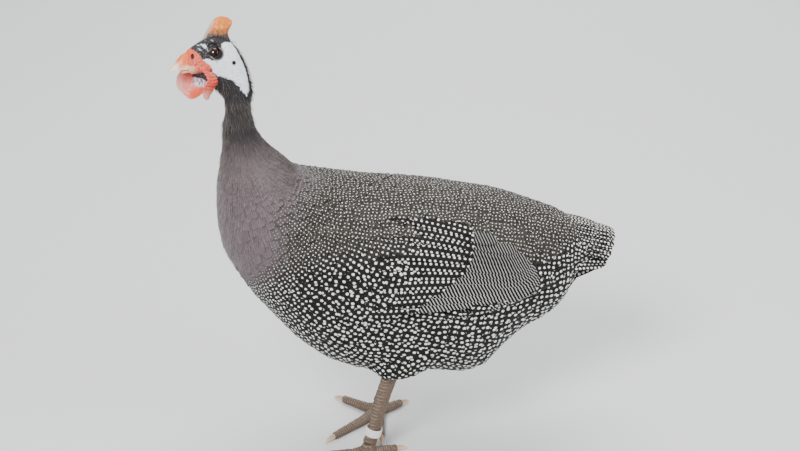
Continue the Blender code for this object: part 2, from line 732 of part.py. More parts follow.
def leg_parts(side, col, tools, torso, mats):
    left = side == "left"
    foot = Vector((*(FOOT_LEFT if left else FOOT_RIGHT), 0)) * MM
    hock = Vector(HOCK_LEFT if left else HOCK_RIGHT) * MM
    ankle = foot + Vector((0, 0, 11 * MM))
    axis = (hock - ankle).normalized()

    shank_rows = [(0.075, 5.4, 6.6), (0.16, 4.6, 6.0), (0.3, 4.3, 5.8), (0.5, 4.3, 5.9),
                  (0.7, 4.6, 6.2), (0.85, 5.2, 6.9), (0.95, 5.8, 7.6), (1.0, 5.7, 7.5)]
    shank = to_object("shank_" + side, shank_mesh(ankle, hock, shank_rows), mats["leg_scales"], col)
    boolean(shank, [inflated(torso, GAP * MM, tools)], "DIFFERENCE")
    keep_largest(shank)

    thigh_rows = [(90.0, 10, 11, 0), (94.0, 17, 21, 3), (101.0, 23, 30, 8), (112.0, 27, 37, 14),
                  (128.0, 29, 42, 20), (150.0, 28, 42, 26)]
    rings = []
    for z, across, fore, shift in thigh_rows:
        centre = Vector((hock.x + (shift + 1) * MM, hock.y * 1.06, z * MM))
        rings.append(oval_ring(centre, Vector((fore * MM, 0, 0)), Vector((0, across * MM, 0)), 18))
    thigh = to_object("thigh_" + side, loft(rings), mats["thigh_plumage"], col)

    claws = []
    toes = []
    for name, bearing_left, bearing_right, length in TOES:
        bearing = math.radians(bearing_left if left else bearing_right)
        out = Vector((math.cos(bearing), math.sin(bearing), 0))
        across = Vector((-out.y, out.x, 0))
        up = Vector((0, 0, 1))
        toes.append(helper("toe", toe_mesh(foot, out, across, length, name), tools))
        base = foot + out * ((length + GAP) * MM) + up * (3.5 * MM)
        long = 12.0 if name != "hind" else 10.5
        claw_rings = []
        for t, r in ((0, 2.5), (0.3, 2.2), (0.6, 1.6), (0.85, 0.9)):
            drop = 0.3 * t - 2.9 * t * t
            centre = base + out * (long * t * MM) + up * (drop * MM)
            tilt = Vector((0, 0, 1)) * math.cos(t * 0.4) + out * math.sin(t * 0.4)
            claw_rings.append(oval_ring(centre, across * r * 0.8 * MM, tilt * r * MM, 8))
        tip = base + out * (long * MM) + up * (-3.1 * MM)
        claws.append(to_object(f"claw_{name}_{side}", loft(claw_rings, pole_end=tip),
                               mats["claw_horn"], col))
    pad_rings = []
    for z, r in ((2.0, 7.6), (7.0, 8.0), (11.0, 7.2), (14.0, 6.4), (16.6, 5.9)):
        centre = foot + Vector((0, 0, z * MM)) + Vector((axis.x, axis.y, 0)) * (z - 11) * MM
        pad_rings.append(oval_ring(centre, Vector((r * MM, 0, 0)), Vector((0, r * 0.9 * MM, 0)), 12))
    foot_obj = to_object("foot_" + side, loft(pad_rings), mats["leg_scales"], col)
    boolean(foot_obj, toes, "UNION")
    bm = bmesh.new()
    bmesh.ops.create_cube(bm, size=1.0)
    bmesh.ops.scale(bm, vec=(0.4, 0.4, 0.05), verts=bm.verts)
    bmesh.ops.translate(bm, vec=(foot.x, foot.y, -0.025), verts=bm.verts)
    bmesh.ops.triangulate(bm, faces=bm.faces)
    floor = helper("floor", bm, tools)
    boolean(foot_obj, [floor, inflated(shank, GAP * MM, tools)], "DIFFERENCE")
    keep_largest(foot_obj)
    boolean(thigh, [inflated(torso, GAP * MM, tools), inflated(shank, GAP * MM, tools)], "DIFFERENCE")
    keep_largest(thigh)
    return shank, thigh, foot_obj, claws, ankle, hock


RING_AT = 0.22
RING_HEIGHT = 8.0


def leg_ring(ankle, hock, col, mats):
    centre = ankle.lerp(hock, RING_AT)
    axis = (hock - ankle).normalized()
    fore = Vector((1, 0, 0))
    fore = (fore - axis * fore.dot(axis)).normalized()
    side = axis.cross(fore)
    bm = bmesh.new()
    rows = []
    for radius, shift in ((7.0, -0.5), (7.9, -0.5), (7.9, 0.5), (7.0, 0.5)):
        middle = centre + axis * (RING_HEIGHT * shift * MM)
        rows.append([bm.verts.new(p) for p in
                     oval_ring(middle, fore * radius * MM, side * (radius - 0.8) * MM, 20)])
    for low, high in zip(rows, rows[1:] + rows[:1]):
        for i in range(20):
            j = (i + 1) % 20
            bm.faces.new((low[i], low[j], high[j], high[i]))
    bmesh.ops.triangulate(bm, faces=bm.faces)
    return to_object("leg_ring", bm, mats["ring_plastic"], col)


def surface(tree, x, angle, side):
    """Point and normal of the body's outside at x mm, by the angle in degrees above level."""
    a = math.radians(angle)
    start = Vector((x, 0, 190)) * MM
    out = Vector((0, math.cos(a) * (-1 if side == "left" else 1), math.sin(a)))
    hit, normal, _, _ = tree.ray_cast(start, out)
    return hit, normal if normal.dot(out) > 0 else -normal


# Edges of the closed wing over the body: x, lower angle, upper angle.
WING_PAD = [
    (-66, -11, 48), (-46, -15, 56), (-18, -14, 60), (12, -12, 61), (42, -11, 59),
    (70, -10, 54), (94, -9, 43), (110, -8, 26),
]


# The feathers of the wing lie along lines from its lower edge up, each over the one below.
# Tiers: name, first line, last line, root x, tip x on the first and on the last line, half
# width in mm, layer.
WING_TIERS = [
    ("primary", -0.5, 1.5, (40, 34), (135, 130), 8.0, -1),
    ("secondary", 0, 7, (-2, -14), (127, 82), 9.8, 0),
    ("greater", 0, 6, (-40, -44), (24, 44), 9.8, 1),
]
WING_LAYER = 1.35
WING_ROLL = 0.19
WING_SUNK = 4.7
WING_STAND = 1.5
WING_LEAST = 0.9
WING_PLUNGE = 2.4


def wing_line(line, x):
    """Angle on the body of a feather line of the wing at x."""
    low = -9 + 3 * max(0.0, min(1.0, (x + 60) / 190))
    top = 49 - 25 * max(0.0, min(1.0, (x + 10) / 112)) ** 1.3
    return low + (top - low) * line / 6


def wing_path(tree, side, line, start, end, layer):
    """Points and normals of a feather's middle line, from its sunk root to its tip."""
    path = []
    normals = []
    for t, _, _ in VANE_SHAPE + [(1.0, 0, 0)]:
        x = start + (end - start) * t
        p, n = surface(tree, x, wing_line(line, x), side)
        rise = -3.4 + 2.6 * (x + 60) / 190 + WING_LAYER * layer + 0.1 * max(line, 0)
        rise -= WING_PLUNGE * max(0.0, 1 - t / VANE_SHAPE[1][0])
        path.append(p + n * rise * MM)
        normals.append(n)
    return path, normals


def wing_part(side, tree, torso, col, tools, mats):
    under = BVHTree.FromPolygons([v.co.copy() for v in torso.data.vertices],
                                 [tuple(p.vertices) for p in torso.data.polygons])
    rings = []
    steps = 6
    for x, low, high in WING_PAD:
        outer = []
        inner = []
        for i in range(steps):
            angle = low + (high - low) * i / (steps - 1)
            low_p, low_n = surface(under, x, angle, side)
            inner.append(low_p + low_n * (WING_STAND * MM))
            p, n = surface(tree, x, angle, side)
            edge = min(1.0, 2.2 * min(i, steps - 1 - i) / (steps - 1) + 0.4)
            p = p + n * (((edge - 1) * 1.4 - WING_SUNK) * MM)
            depth = (p - inner[-1]).dot(low_n)
            outer.append(p + low_n * max(0.0, WING_LEAST * MM - depth))
        rings.append(outer + inner[::-1])
    wing = to_object("wing_" + side, loft(rings), mats["wing_plumage"], col)
    lean = WING_ROLL if side == "left" else -WING_ROLL
    vanes = []
    rng = random.Random(11)
    for _, first, last, root, tip, half, layer in WING_TIERS:
        count = int(last - first) + 1
        for k in range(count):
            t = k / (count - 1)
            start = root[0] + (root[1] - root[0]) * t
            end = tip[0] + (tip[1] - tip[0]) * t + rng.uniform(-1.2, 1.2)
            path, normals = wing_path(tree, side, first + k, start, end, layer)
            wide = half * rng.uniform(0.97, 1.03)
            vanes.append(vane_object("vane", path[:-1], normals, wide, lean, path[-1], tools))
    boolean(wing, vanes, "UNION")
    boolean(wing, [inflated(torso, GAP * MM, tools)], "DIFFERENCE")
    return keep_largest(wing)


# Tail wedge: x, top z, bottom z, half width.
TAIL_CORE = [
    (134, 225, 182, 27), (152, 217, 172, 31), (168, 208.5, 168, 30), (180, 202, 171, 25),
    (189, 197, 176, 18),
]
# Tail tiers: name, count, root x, root z, spread of the roots; tip x, tip z, spread of the tips;
# fall of x in mm per squared feather from the middle, fall of z per feather and per squared
# feather, fall of the root per feather; half width; side the feather faces.
TAIL_TIERS = [
    ("under", 5, (136, 158, 26), (192, 173.5, 34), 1.0, 0.0, -1.0, 0.0, 9.0, -1),
    ("rectrix", 12, (132, 222.5, 26), (203, 196.5, 50), 0.3, 1.25, 0.22, 1.0, 8.0, 1),
    ("upper", 6, (126, 229.5, 30), (183, 212, 42), 1.2, 1.2, 0.5, 1.0, 8.2, 1),
    ("rump", 5, (112, 237, 34), (160, 222.5, 42), 1.1, 1.3, 0.7, 1.0, 9.0, 1),
]
TAIL_LONGEST = 5.0


def tail_part(torso, col, tools, mats):
    rings = []
    for x, top, bottom, half in TAIL_CORE:
        centre = Vector((x, 0, (top + bottom) / 2)) * MM
        up = Vector((0, 0, (top - bottom) / 2 * MM))
        rings.append(oval_ring(centre, Vector((0, half * MM, 0)), up, 16, 0.9))
    tail = to_object("tail", loft(rings, pole_end=Vector((194, 0, 186)) * MM),
                     mats["tail_plumage"], col)
    vanes = []
    rng = random.Random(5)
    for name, count, root, tip, fall_x, fall_z, curve_z, fall_root, half, up in TAIL_TIERS:
        for k in range(count):
            off = k - (count - 1) / 2
            share = off / ((count - 1) / 2)
            level = abs(off) + (0.5 if off > 0 else 0.0)
            start = Vector((root[0], root[2] / 2 * share, root[1] - fall_root * level)) * MM
            reach = rng.uniform(-0.8, 0.8)
            if name == "rectrix" and abs(off) < 1:
                reach += TAIL_LONGEST
            end = Vector((tip[0] - fall_x * off * off + reach, tip[2] / 2 * share,
                          tip[1] - fall_z * level - curve_z * off * off)) * MM
            tent = math.radians(34 * share)
            normal = Vector((0.35, math.sin(tent), math.cos(tent))).normalized() * up
            path = []
            for t, _, _ in VANE_SHAPE + [(1.0, 0, 0)]:
                bow = math.sin(math.pi * min(t, 1.0)) * 1.2 * up
                path.append(start.lerp(end, t) + Vector((0, 0, bow * MM)))
            lean = -0.13 * share * up
            vanes.append(vane_object("vane", path[:-1], [normal] * 6, half, lean, path[-1], tools))
    boolean(tail, vanes, "UNION")
    boolean(tail, [inflated(torso, GAP * MM, tools)], "DIFFERENCE")
    return keep_largest(tail)


def centre_on_floor(col):
    """Moves every part alike so that the bounding box stands centred on the origin."""
    low = Vector((1e9, 1e9, 1e9))
    high = -low
    for obj in col.objects:
        for v in obj.data.vertices:
            low = Vector(map(min, low, v.co))
            high = Vector(map(max, high, v.co))
    move = Matrix.Translation(Vector((-(low.x + high.x) / 2, -(low.y + high.y) / 2, -low.z)))
    for obj in col.objects:
        obj.data.transform(move)
        obj.data.update()
    return move


def main():
    clear_scene()
    col = make_collection("guinea_fowl")
    tools = make_collection("cutters", hidden=True)
    material("helper", (0.5, 0.5, 0.5), 0.6)
    mats = {
        "body_plumage": material("body_plumage", (0.055, 0.052, 0.055), 0.8),
        "neck_plumage": material("neck_plumage", (0.085, 0.07, 0.085), 0.85),
        "wing_plumage": material("wing_plumage", (0.07, 0.065, 0.066), 0.75),
        "tail_plumage": material("tail_plumage", (0.08, 0.072, 0.07), 0.75),
        "thigh_plumage": material("thigh_plumage", (0.05, 0.048, 0.05), 0.85),
        "head_skin": material("head_skin", (0.62, 0.64, 0.68), 0.6),
        "casque_horn": material("casque_horn", (0.5, 0.21, 0.08), 0.5),
        "bill_horn": material("bill_horn", (0.62, 0.2, 0.08), 0.4),
        "wattle_skin": material("wattle_skin", (0.55, 0.06, 0.06), 0.45),
        "eye": material("eye", (0.03, 0.015, 0.01), 0.08, 0.6),
        "leg_scales": material("leg_scales", (0.16, 0.12, 0.09), 0.5),
        "claw_horn": material("claw_horn", (0.42, 0.3, 0.24), 0.4),
        "ring_plastic": material("ring_plastic", (0.75, 0.76, 0.76), 0.4),
    }
    tree, torso, neck = body_parts(col, mats)
    head, eyes, casque, bills = head_parts(col, tools, mats)
    wattle_parts(col, tools, mats)
    for side in ("left", "right"):
        shank, thigh, foot_obj, claws, ankle, hock = leg_parts(side, col, tools, torso, mats)
        if side == "left":
            leg_ring(ankle, hock, col, mats)
        wing_part(side, tree, torso, col, tools, mats)
    tail_part(torso, col, tools, mats)
    for obj in list(tools.objects):
        bpy.data.objects.remove(obj, do_unlink=True)
    centre_on_floor(col)
    for obj in col.objects:
        for polygon in obj.data.polygons:
            polygon.use_smooth = True


main()
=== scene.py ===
"""Looks of a life-size helmeted guinea fowl: skin, plumage, bare head, legs and a plain studio.

Lengths in the tables are in mm, from a point on the floor under the hips (see HIPS).
"""

import itertools
import json
import math

import bmesh
import bpy
import numpy as np
from mathutils import Matrix, Vector, kdtree
from mathutils.bvhtree import BVHTree

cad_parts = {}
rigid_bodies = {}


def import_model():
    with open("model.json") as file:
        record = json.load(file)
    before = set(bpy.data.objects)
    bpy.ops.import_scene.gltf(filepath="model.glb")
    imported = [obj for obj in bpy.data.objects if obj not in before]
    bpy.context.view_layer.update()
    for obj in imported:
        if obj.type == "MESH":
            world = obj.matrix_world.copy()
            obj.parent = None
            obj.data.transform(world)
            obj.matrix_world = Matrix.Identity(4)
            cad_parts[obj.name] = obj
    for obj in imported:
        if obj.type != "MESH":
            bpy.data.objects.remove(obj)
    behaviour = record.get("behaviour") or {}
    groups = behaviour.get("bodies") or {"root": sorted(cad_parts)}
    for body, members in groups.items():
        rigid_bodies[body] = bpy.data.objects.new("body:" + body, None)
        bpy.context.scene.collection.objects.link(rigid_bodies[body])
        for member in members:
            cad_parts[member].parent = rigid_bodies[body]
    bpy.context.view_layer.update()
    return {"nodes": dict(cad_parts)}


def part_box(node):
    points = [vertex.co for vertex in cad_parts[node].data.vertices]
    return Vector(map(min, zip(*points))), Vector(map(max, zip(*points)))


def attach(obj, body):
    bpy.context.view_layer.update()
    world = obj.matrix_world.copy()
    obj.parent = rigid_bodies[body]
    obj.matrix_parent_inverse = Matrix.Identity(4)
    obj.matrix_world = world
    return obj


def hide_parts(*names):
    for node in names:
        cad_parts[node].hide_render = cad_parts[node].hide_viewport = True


bl_info = {
    "name": "Guinea Fowl Looks",
    "version": (1, 0, 0),
    "blender": (4, 5, 0),
    "location": "View3D > Sidebar > Guinea Fowl",
    "description": "Dresses the packed guinea fowl with skin, feathers, horn and a studio",
    "category": "Object",
}

# A new file's own objects would count in the sizes.
for start in list(bpy.data.objects):
    bpy.data.objects.remove(start)
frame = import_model()

MM = 0.001
# The hips in the row frame, along x, in mm.
HIPS = -3.57


def place(x, y, z):
    """A point of the tables in the row frame."""
    return Vector((x + HIPS, y, z)) * MM


def hex_colour(code, alpha=True):
    """An sRGB hex colour in linear light."""
    values = []
    for i in (1, 3, 5):
        c = int(code[i:i + 2], 16) / 255
        values.append(c / 12.92 if c <= 0.04045 else ((c + 0.055) / 1.055) ** 2.4)
    return tuple(values + [1.0]) if alpha else tuple(values)


def linear(colour):
    """Linear red, green and blue of a hex code; other colours as they are."""
    return np.array(hex_colour(colour, False) if isinstance(colour, str) else colour)


def toward(paint, colour, share):
    """Paint moved towards a colour by a share for each point; both may be hex codes."""
    paint = linear(paint)
    return paint + (linear(colour) - paint) * np.reshape(share, (-1, 1))


# Where the head's own axes stand: ahead, to the bird's left and up, from between the eyes.
HEAD_AT = (-158.6, 8.0, 405.4)
HEAD_YAW = 11.0
HEAD_ROLL = 20.0
HEAD_PITCH = 10.5


def head_matrix():
    """The head's own axes and their origin in the row frame."""
    yaw, roll, pitch = (math.radians(a) for a in (HEAD_YAW, HEAD_ROLL, HEAD_PITCH))
    ahead = Vector((-math.cos(yaw), -math.sin(yaw), 0))
    flat_left = Vector((math.sin(yaw), -math.cos(yaw), 0))
    left = flat_left * math.cos(roll) + Vector((0, 0, math.sin(roll)))
    up = Vector((0, 0, math.cos(roll))) - flat_left * math.sin(roll)
    ahead, up = (ahead * math.cos(pitch) + up * math.sin(pitch),
                 up * math.cos(pitch) - ahead * math.sin(pitch))
    mat = Matrix((ahead, left, up)).transposed().to_4x4()
    mat.translation = place(*HEAD_AT)
    return mat


HEAD_M = head_matrix()
HEAD_TURN = np.array(HEAD_M.to_3x3())


def in_head(points):
    """Points of the row frame in the head's own axes, in mm."""
    return (points - np.array(HEAD_M.translation)) @ HEAD_TURN / MM


def out_of_head(local):
    """Points of the row frame from the head's own axes, in mm."""
    return local * MM @ HEAD_TURN.T + np.array(HEAD_M.translation)


class FowlPlumage(bpy.types.PropertyGroup):
    """Sizes and colours of the feather coat."""

    coat_depth: bpy.props.FloatProperty(
        name="Coat depth", description="Depth of the body feathers over the skin",
        default=0.0036, min=0.001, max=0.01, unit="LENGTH")
    spacing: bpy.props.FloatProperty(
        name="Feather spacing", description="Distance between body feathers on the flank",
        default=0.0082, min=0.004, max=0.02, unit="LENGTH")
    dark: bpy.props.FloatVectorProperty(
        name="Dark ground", description="Near-black ground of the flank and belly",
        default=hex_colour("#0C0B0C", False), size=3, subtype="COLOR", min=0, max=1)
    pale: bpy.props.FloatVectorProperty(
        name="Pale ground", description="Grey-brown ground of the back and rump",
        default=hex_colour("#2D2A26", False), size=3, subtype="COLOR", min=0, max=1)
    pearl: bpy.props.FloatVectorProperty(
        name="Pearls", description="White of the round spots",
        default=hex_colour("#FBFAF5", False), size=3, subtype="COLOR", min=0, max=1)
    mauve: bpy.props.FloatVectorProperty(
        name="Breast", description="Plain purplish grey of the lower neck and breast",
        default=hex_colour("#7C7074", False), size=3, subtype="COLOR", min=0, max=1)
    seed: bpy.props.IntProperty(
        name="Seed", description="Seed of every random draw in the coat", default=7, min=0)


class FowlHead(bpy.types.PropertyGroup):
    """Sizes and colours of the bare head."""

    iris: bpy.props.FloatProperty(
        name="Iris radius", description="Radius of the visible eye",
        default=0.0046, min=0.002, max=0.008, unit="LENGTH")
    white: bpy.props.FloatVectorProperty(
        name="Face white", description="Bluish white of the cheeks",
        default=hex_colour("#EEF5FA", False), size=3, subtype="COLOR", min=0, max=1)
    red: bpy.props.FloatVectorProperty(
        name="Wattle red", description="Red of the wattles and the bill's base",
        default=hex_colour("#D9402F", False), size=3, subtype="COLOR", min=0, max=1)
    crown: bpy.props.FloatVectorProperty(
        name="Crown", description="Black of the crown and the throat",
        default=hex_colour("#252426", False), size=3, subtype="COLOR", min=0, max=1)


class FowlStage(bpy.types.PropertyGroup):
    """Camera and light of the studio."""

    distance: bpy.props.FloatProperty(
        name="Camera distance", description="From the camera to the middle of the view",
        default=1.70, min=0.5, max=10, unit="LENGTH")
    elevation: bpy.props.FloatProperty(
        name="Elevation", description="Height of the camera above level",
        default=math.radians(28), unit="ROTATION")
    azimuth: bpy.props.FloatProperty(
        name="Azimuth", description="Turn of the camera towards the bill",
        default=math.radians(-12), unit="ROTATION")
    lens: bpy.props.FloatProperty(
        name="Lens", description="Focal length on a 36 mm sensor, in mm", default=85.0, min=10)
    light: bpy.props.FloatProperty(
        name="Key light", description="Power of the large lamp", default=52.0, min=0, unit="POWER")


# What the pieces share: the coat's outside with its search tree and corners, the skin's search
# tree and the feathers' material.
SHARED = {}

# Fineness of the remeshed copies, in mm.
VOXELS = {"coat": 2.6, "head": 0.62, "casque": 0.5, "bill": 0.4, "claw": 0.35, "wattle": 0.42,
          "leg": 0.6, "ring": 0.3}


def linked(name, data):
    """A new object in the scene."""
    obj = bpy.data.objects.new(name, data)
    bpy.context.scene.collection.objects.link(obj)
    return obj


def new_object(name, mesh, mat):
    """A smooth-shaded piece of one material that rides the model."""
    obj = linked(name, mesh)
    mesh.materials.clear()
    mesh.materials.append(mat)
    mesh.shade_smooth()
    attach(obj, "root")
    return obj


def copy_of_nodes(names):
    """One bmesh with the named CAD nodes, merged into closed shells."""
    bm = bmesh.new()
    for name in names:
        bm.from_mesh(frame["nodes"][name].data)
    bmesh.ops.remove_doubles(bm, verts=bm.verts, dist=0.000001)
    bm.normal_update()
    return bm


def evaluated(obj):
    """A new mesh of an object with its modifiers applied."""
    graph = bpy.context.evaluated_depsgraph_get()
    graph.update()
    return bpy.data.meshes.new_from_object(obj.evaluated_get(graph))


def remeshed(names, voxel, smooth, fatten=0.0):
    """A fused, evenly meshed copy of the named CAD nodes, as a bmesh; voxel and fatten in mm."""
    bm = copy_of_nodes(names)
    if fatten:
        set_places([(v, v.co + v.normal * (fatten * MM)) for v in bm.verts])
    mesh = bpy.data.meshes.new("remesh")
    bm.to_mesh(mesh)
    bm.free()
    obj = linked("remesh", mesh)
    mod = obj.modifiers.new("remesh", "REMESH")
    mod.mode = "VOXEL"
    mod.voxel_size = voxel * MM
    made = evaluated(obj)
    out = bmesh.new()
    out.from_mesh(made)
    bpy.data.objects.remove(obj)
    bpy.data.meshes.remove(mesh)
    bpy.data.meshes.remove(made)
    soften(out, smooth)
    return out


def soften(bm, times, verts=None):
    """Smooths the given points, or all of them."""
    for _ in range(times):
        bmesh.ops.smooth_vert(bm, verts=bm.verts if verts is None else verts, factor=0.5,
                              use_axis_x=True, use_axis_y=True, use_axis_z=True)
    bm.normal_update()


def points_of(body):
    """Points of a bmesh or a mesh as rows."""
    verts = body.verts if isinstance(body, bmesh.types.BMesh) else body.vertices
    return np.array([v.co for v in verts], float)


def normals_of(bm):
    return np.array([v.normal for v in bm.verts], float)


def set_places(moves):
    """Moves points; moves are pairs of a point and its new place."""
    for v, co in moves:
        v.co = co


def move_to(bm, points):
    set_places(zip(bm.verts, points))
    bm.normal_update()


def to_mesh(bm, name):
    bmesh.ops.recalc_face_normals(bm, faces=bm.faces)
    mesh = bpy.data.meshes.new(name)
    bm.to_mesh(mesh)
    bm.free()
    return mesh


def give_float(mesh, name, values):
    attribute = mesh.attributes.new(name, "FLOAT", "POINT")
    attribute.data.foreach_set("value", np.asarray(values, np.float32))


def give_colour(mesh, name, values):
    """A colour for each point; values are rows of linear red, green and blue."""
    attribute = mesh.attributes.new(name, "FLOAT_COLOR", "POINT")
    full = np.ones((len(values), 4), np.float32)
    full[:, :3] = values
    attribute.data.foreach_set("color", full.ravel())


def ramp(x, low, high):
    """Smooth step from 0 at low to 1 at high."""
    t = np.clip((x - low) / (high - low), 0, 1)
    return t * t * (3 - 2 * t)


def add_node(tree, kind, settings=None, **inputs):
    """Adds a node, sets its properties and fills its inputs with values or other nodes' sockets."""
    made = tree.nodes.new(kind)
    for key, value in (settings or {}).items():
        setattr(made, key, value)
    for key, value in inputs.items():
        socket = made.inputs[int(key[1:])] if key[0] == "i" and key[1:].isdigit() \
            else made.inputs[key.replace("_", " ")]
        if isinstance(value, bpy.types.NodeSocket):
            tree.links.new(value, socket)
        else:
            socket.default_value = value
    return made


def maths(tree, operation, a, b=0.0):
    return add_node(tree, "ShaderNodeMath", {"operation": operation}, i0=a, i1=b).outputs[0]


def times(tree, a, b):
    return maths(tree, "MULTIPLY", a, b)


def plus(tree, a, b):
    return maths(tree, "ADD", a, b)


def mixed(tree, factor, a, b, blend="MIX"):
    return add_node(tree, "ShaderNodeMix", {"data_type": "RGBA", "blend_type": blend}, i0=factor,
                    i6=a, i7=b).outputs[2]


def scaled(tree, colour, level):
    """A colour times a grey level."""
    grey = add_node(tree, "ShaderNodeCombineColor", Red=level, Green=level, Blue=level).outputs[0]
    return mixed(tree, 1.0, colour, grey, "MULTIPLY")


def attribute_of(tree, name, socket="Fac"):
    return add_node(tree, "ShaderNodeAttribute", {"attribute_name": name}).outputs[socket]


def map_range(tree, value, low, high, start=0.0, end=1.0, kind="LINEAR"):
    return add_node(tree, "ShaderNodeMapRange", {"interpolation_type": kind}, i0=value, i1=low,
                    i2=high, i3=start, i4=end).outputs[0]


def step_down(tree, value, low, high):
    """1 below low, 0 above high, with a soft edge."""
    return map_range(tree, value, low, high, 1.0, 0.0, "SMOOTHSTEP")


def new_material(name, roughness, specular=0.5):
    mat = bpy.data.materials.new(name)
    mat.use_nodes = True
    shader = mat.node_tree.nodes["Principled BSDF"]
    shader.inputs["Roughness"].default_value = roughness
    shader.inputs["Specular IOR Level"].default_value = specular
    return mat, mat.node_tree, shader


def noise(tree, vector, size_mm, detail=3.0, roughness=0.6):
    """Noise whose grains are about size_mm across on coordinates in metres."""
    return add_node(tree, "ShaderNodeTexNoise", Vector=vector, Scale=1.0 / (size_mm * MM),
                    Detail=detail, Roughness=roughness).outputs["Fac"]


def object_coords(tree):
    return add_node(tree, "ShaderNodeTexCoord").outputs["Object"]


def bump(tree, shader, height, depth_mm):
    made = add_node(tree, "ShaderNodeBump", Strength=1.0, Distance=depth_mm * MM, Height=height)
    tree.links.new(made.outputs["Normal"], shader.inputs["Normal"])


def grained_paint(tree, coords, size_mm, roughness, high, darkest):
    """The piece's own paint with a fine grain in its lightness, and the grain itself."""
    grain = noise(tree, coords, size_mm, 4.0, roughness)
    level = map_range(tree, grain, 0.3, high, darkest, 1.12)
    return scaled(tree, attribute_of(tree, "paint", "Color"), level), grain


def scatter(shader, weight, *reach_mm):
    """Light that wanders under the surface, as far as reach_mm for red, green and blue."""
    shader.inputs["Subsurface Weight"].default_value = weight
    shader.inputs["Subsurface Radius"].default_value = [reach * MM for reach in reach_mm]
    shader.inputs["Subsurface Scale"].default_value = 1.0


def pearl_feather_material():
    """Keratin contour feather: matt barbs, dark ground, round unpigmented pearls beside the shaft."""
    look = bpy.context.scene.fowl_plumage
    mat, tree, shader = new_material("contour_feather_keratin", 0.62, 0.14)
    uv = add_node(tree, "ShaderNodeUVMap", {"uv_map": "feather"}).outputs["UV"]
    split = add_node(tree, "ShaderNodeSeparateXYZ", Vector=uv)
    across = maths(tree, "ABSOLUTE", split.outputs["X"])
    along = split.outputs["Y"]
    pitch = attribute_of(tree, "pitch")
    pearl = attribute_of(tree, "pearl")
    # Pearls stand in columns beside the shaft, every second column half a step further on.
    u = maths(tree, "DIVIDE", across, pitch)
    odd = times(tree, maths(tree, "MODULO", maths(tree, "FLOOR", u), 2.0), 0.5)
    v = plus(tree, maths(tree, "DIVIDE", along, pitch), odd)
    v = plus(tree, v, attribute_of(tree, "slip"))
    du = maths(tree, "SUBTRACT", maths(tree, "FRACT", u), 0.5)
    dv = maths(tree, "SUBTRACT", maths(tree, "FRACT", v), 0.5)
    squares = plus(tree, times(tree, du, du), times(tree, times(tree, dv, dv), 0.8))
    coords = object_coords(tree)
    wobble = times(tree, maths(tree, "SUBTRACT", noise(tree, coords, 1.6, 2.0), 0.5), 0.22)
    near = plus(tree, maths(tree, "SQRT", squares), wobble)
    uneven = plus(tree, 0.72, times(tree, noise(tree, coords, 5.0, 1.0), 0.56))
    size = times(tree, pearl, uneven)
    dots = step_down(tree, near, times(tree, size, 0.78), times(tree, size, 1.22))
    # Bars of the flight feathers: pale lines across the outer vane, slanted towards the tip.
    slant = plus(tree, along, times(tree, split.outputs["X"], 0.55))
    wave = maths(tree, "SINE", times(tree, maths(tree, "DIVIDE", slant, pitch), 2 * math.pi))
    wave = plus(tree, wave, times(tree, wobble, 2.2))
    lines = map_range(tree, wave, 0.35, 0.85, kind="SMOOTHSTEP")
    marks = add_node(tree, "ShaderNodeMix", {"data_type": "FLOAT"}, i0=attribute_of(tree, "bars"),
                     i2=dots, i3=times(tree, lines, pearl)).outputs[0]
    # Barbs run out from the shaft at a slant, 0.55 mm apart, and catch the light in fine streaks.
    barb = maths(tree, "SINE", times(tree, plus(tree, along, times(tree, across, 0.9)),
                                     2 * math.pi / (0.55 * MM)))
    ground = attribute_of(tree, "ground")
    colour = mixed(tree, ground, (*look.dark, 1.0), (*look.pale, 1.0))
    # Vermiculation: pale flecks under a millimetre wide, stronger on the grey back.
    fleck = map_range(tree, noise(tree, coords, 0.95, 3.0, 0.7), 0.5, 0.68)
    amount = plus(tree, 0.05, times(tree, ground, 0.28))
    colour = mixed(tree, times(tree, fleck, amount), colour, hex_colour("#B9B4AA"))
    plain = attribute_of(tree, "plain")
    mauve = mixed(tree, noise(tree, coords, 5.0), (*look.mauve, 1.0), hex_colour("#5F5558"))
    colour = mixed(tree, plain, colour, mauve)
    colour = scaled(tree, colour, attribute_of(tree, "shade"))
    colour = scaled(tree, colour, plus(tree, 0.93, times(tree, barb, 0.07)))
    bare = times(tree, marks, maths(tree, "SUBTRACT", 1.0, plain))
    colour = mixed(tree, bare, colour, (*look.pearl, 1.0))
    tree.links.new(colour, shader.inputs["Base Color"])
    bump(tree, shader, barb, 0.035)
    return mat


# Axis of the bird from tail to head, x and z, round which skin and coat are unwrapped.
AXIS = [(205, 182), (100, 176), (0, 176), (-75, 200), (-120, 258), (-135, 335), (-150, 400),
        (-190, 396)]


def unwrap(points):
    """Unwrapped place of points on the skin: angle round the body's axis and length along it."""
    line = np.array([[x + HIPS, z] for x, z in AXIS]) * MM
    flat = points[:, [0, 2]]
    best = np.full(len(points), 1e9)
    along = np.zeros(len(points))
    over = np.zeros(len(points))
    run = 0.0
    total = np.linalg.norm(np.diff(line, axis=0), axis=1).sum()
    for a, b in zip(line, line[1:]):
        d = b - a
        length = np.linalg.norm(d)
        t = np.clip(((flat - a) @ d) / length ** 2, 0, 1)
        off = flat - (a + t[:, None] * d)
        far = np.linalg.norm(off, axis=1)
        side = (off[:, 0] * -d[1] + off[:, 1] * d[0]) / length * -1
        closer = far < best
        best[closer] = far[closer]
        along[closer] = (run + t * length)[closer]
        over[closer] = side[closer]
        run += length
    angle = np.arctan2(points[:, 1], over) / (2 * math.pi) + 0.5
    return np.stack([0.01 + 0.975 * angle, 0.01 + 0.975 * along / total], 1)


# Side of the patch that each feather has in the unwrapped coat, as a share of the whole.
BAKE_PATCH = 0.003


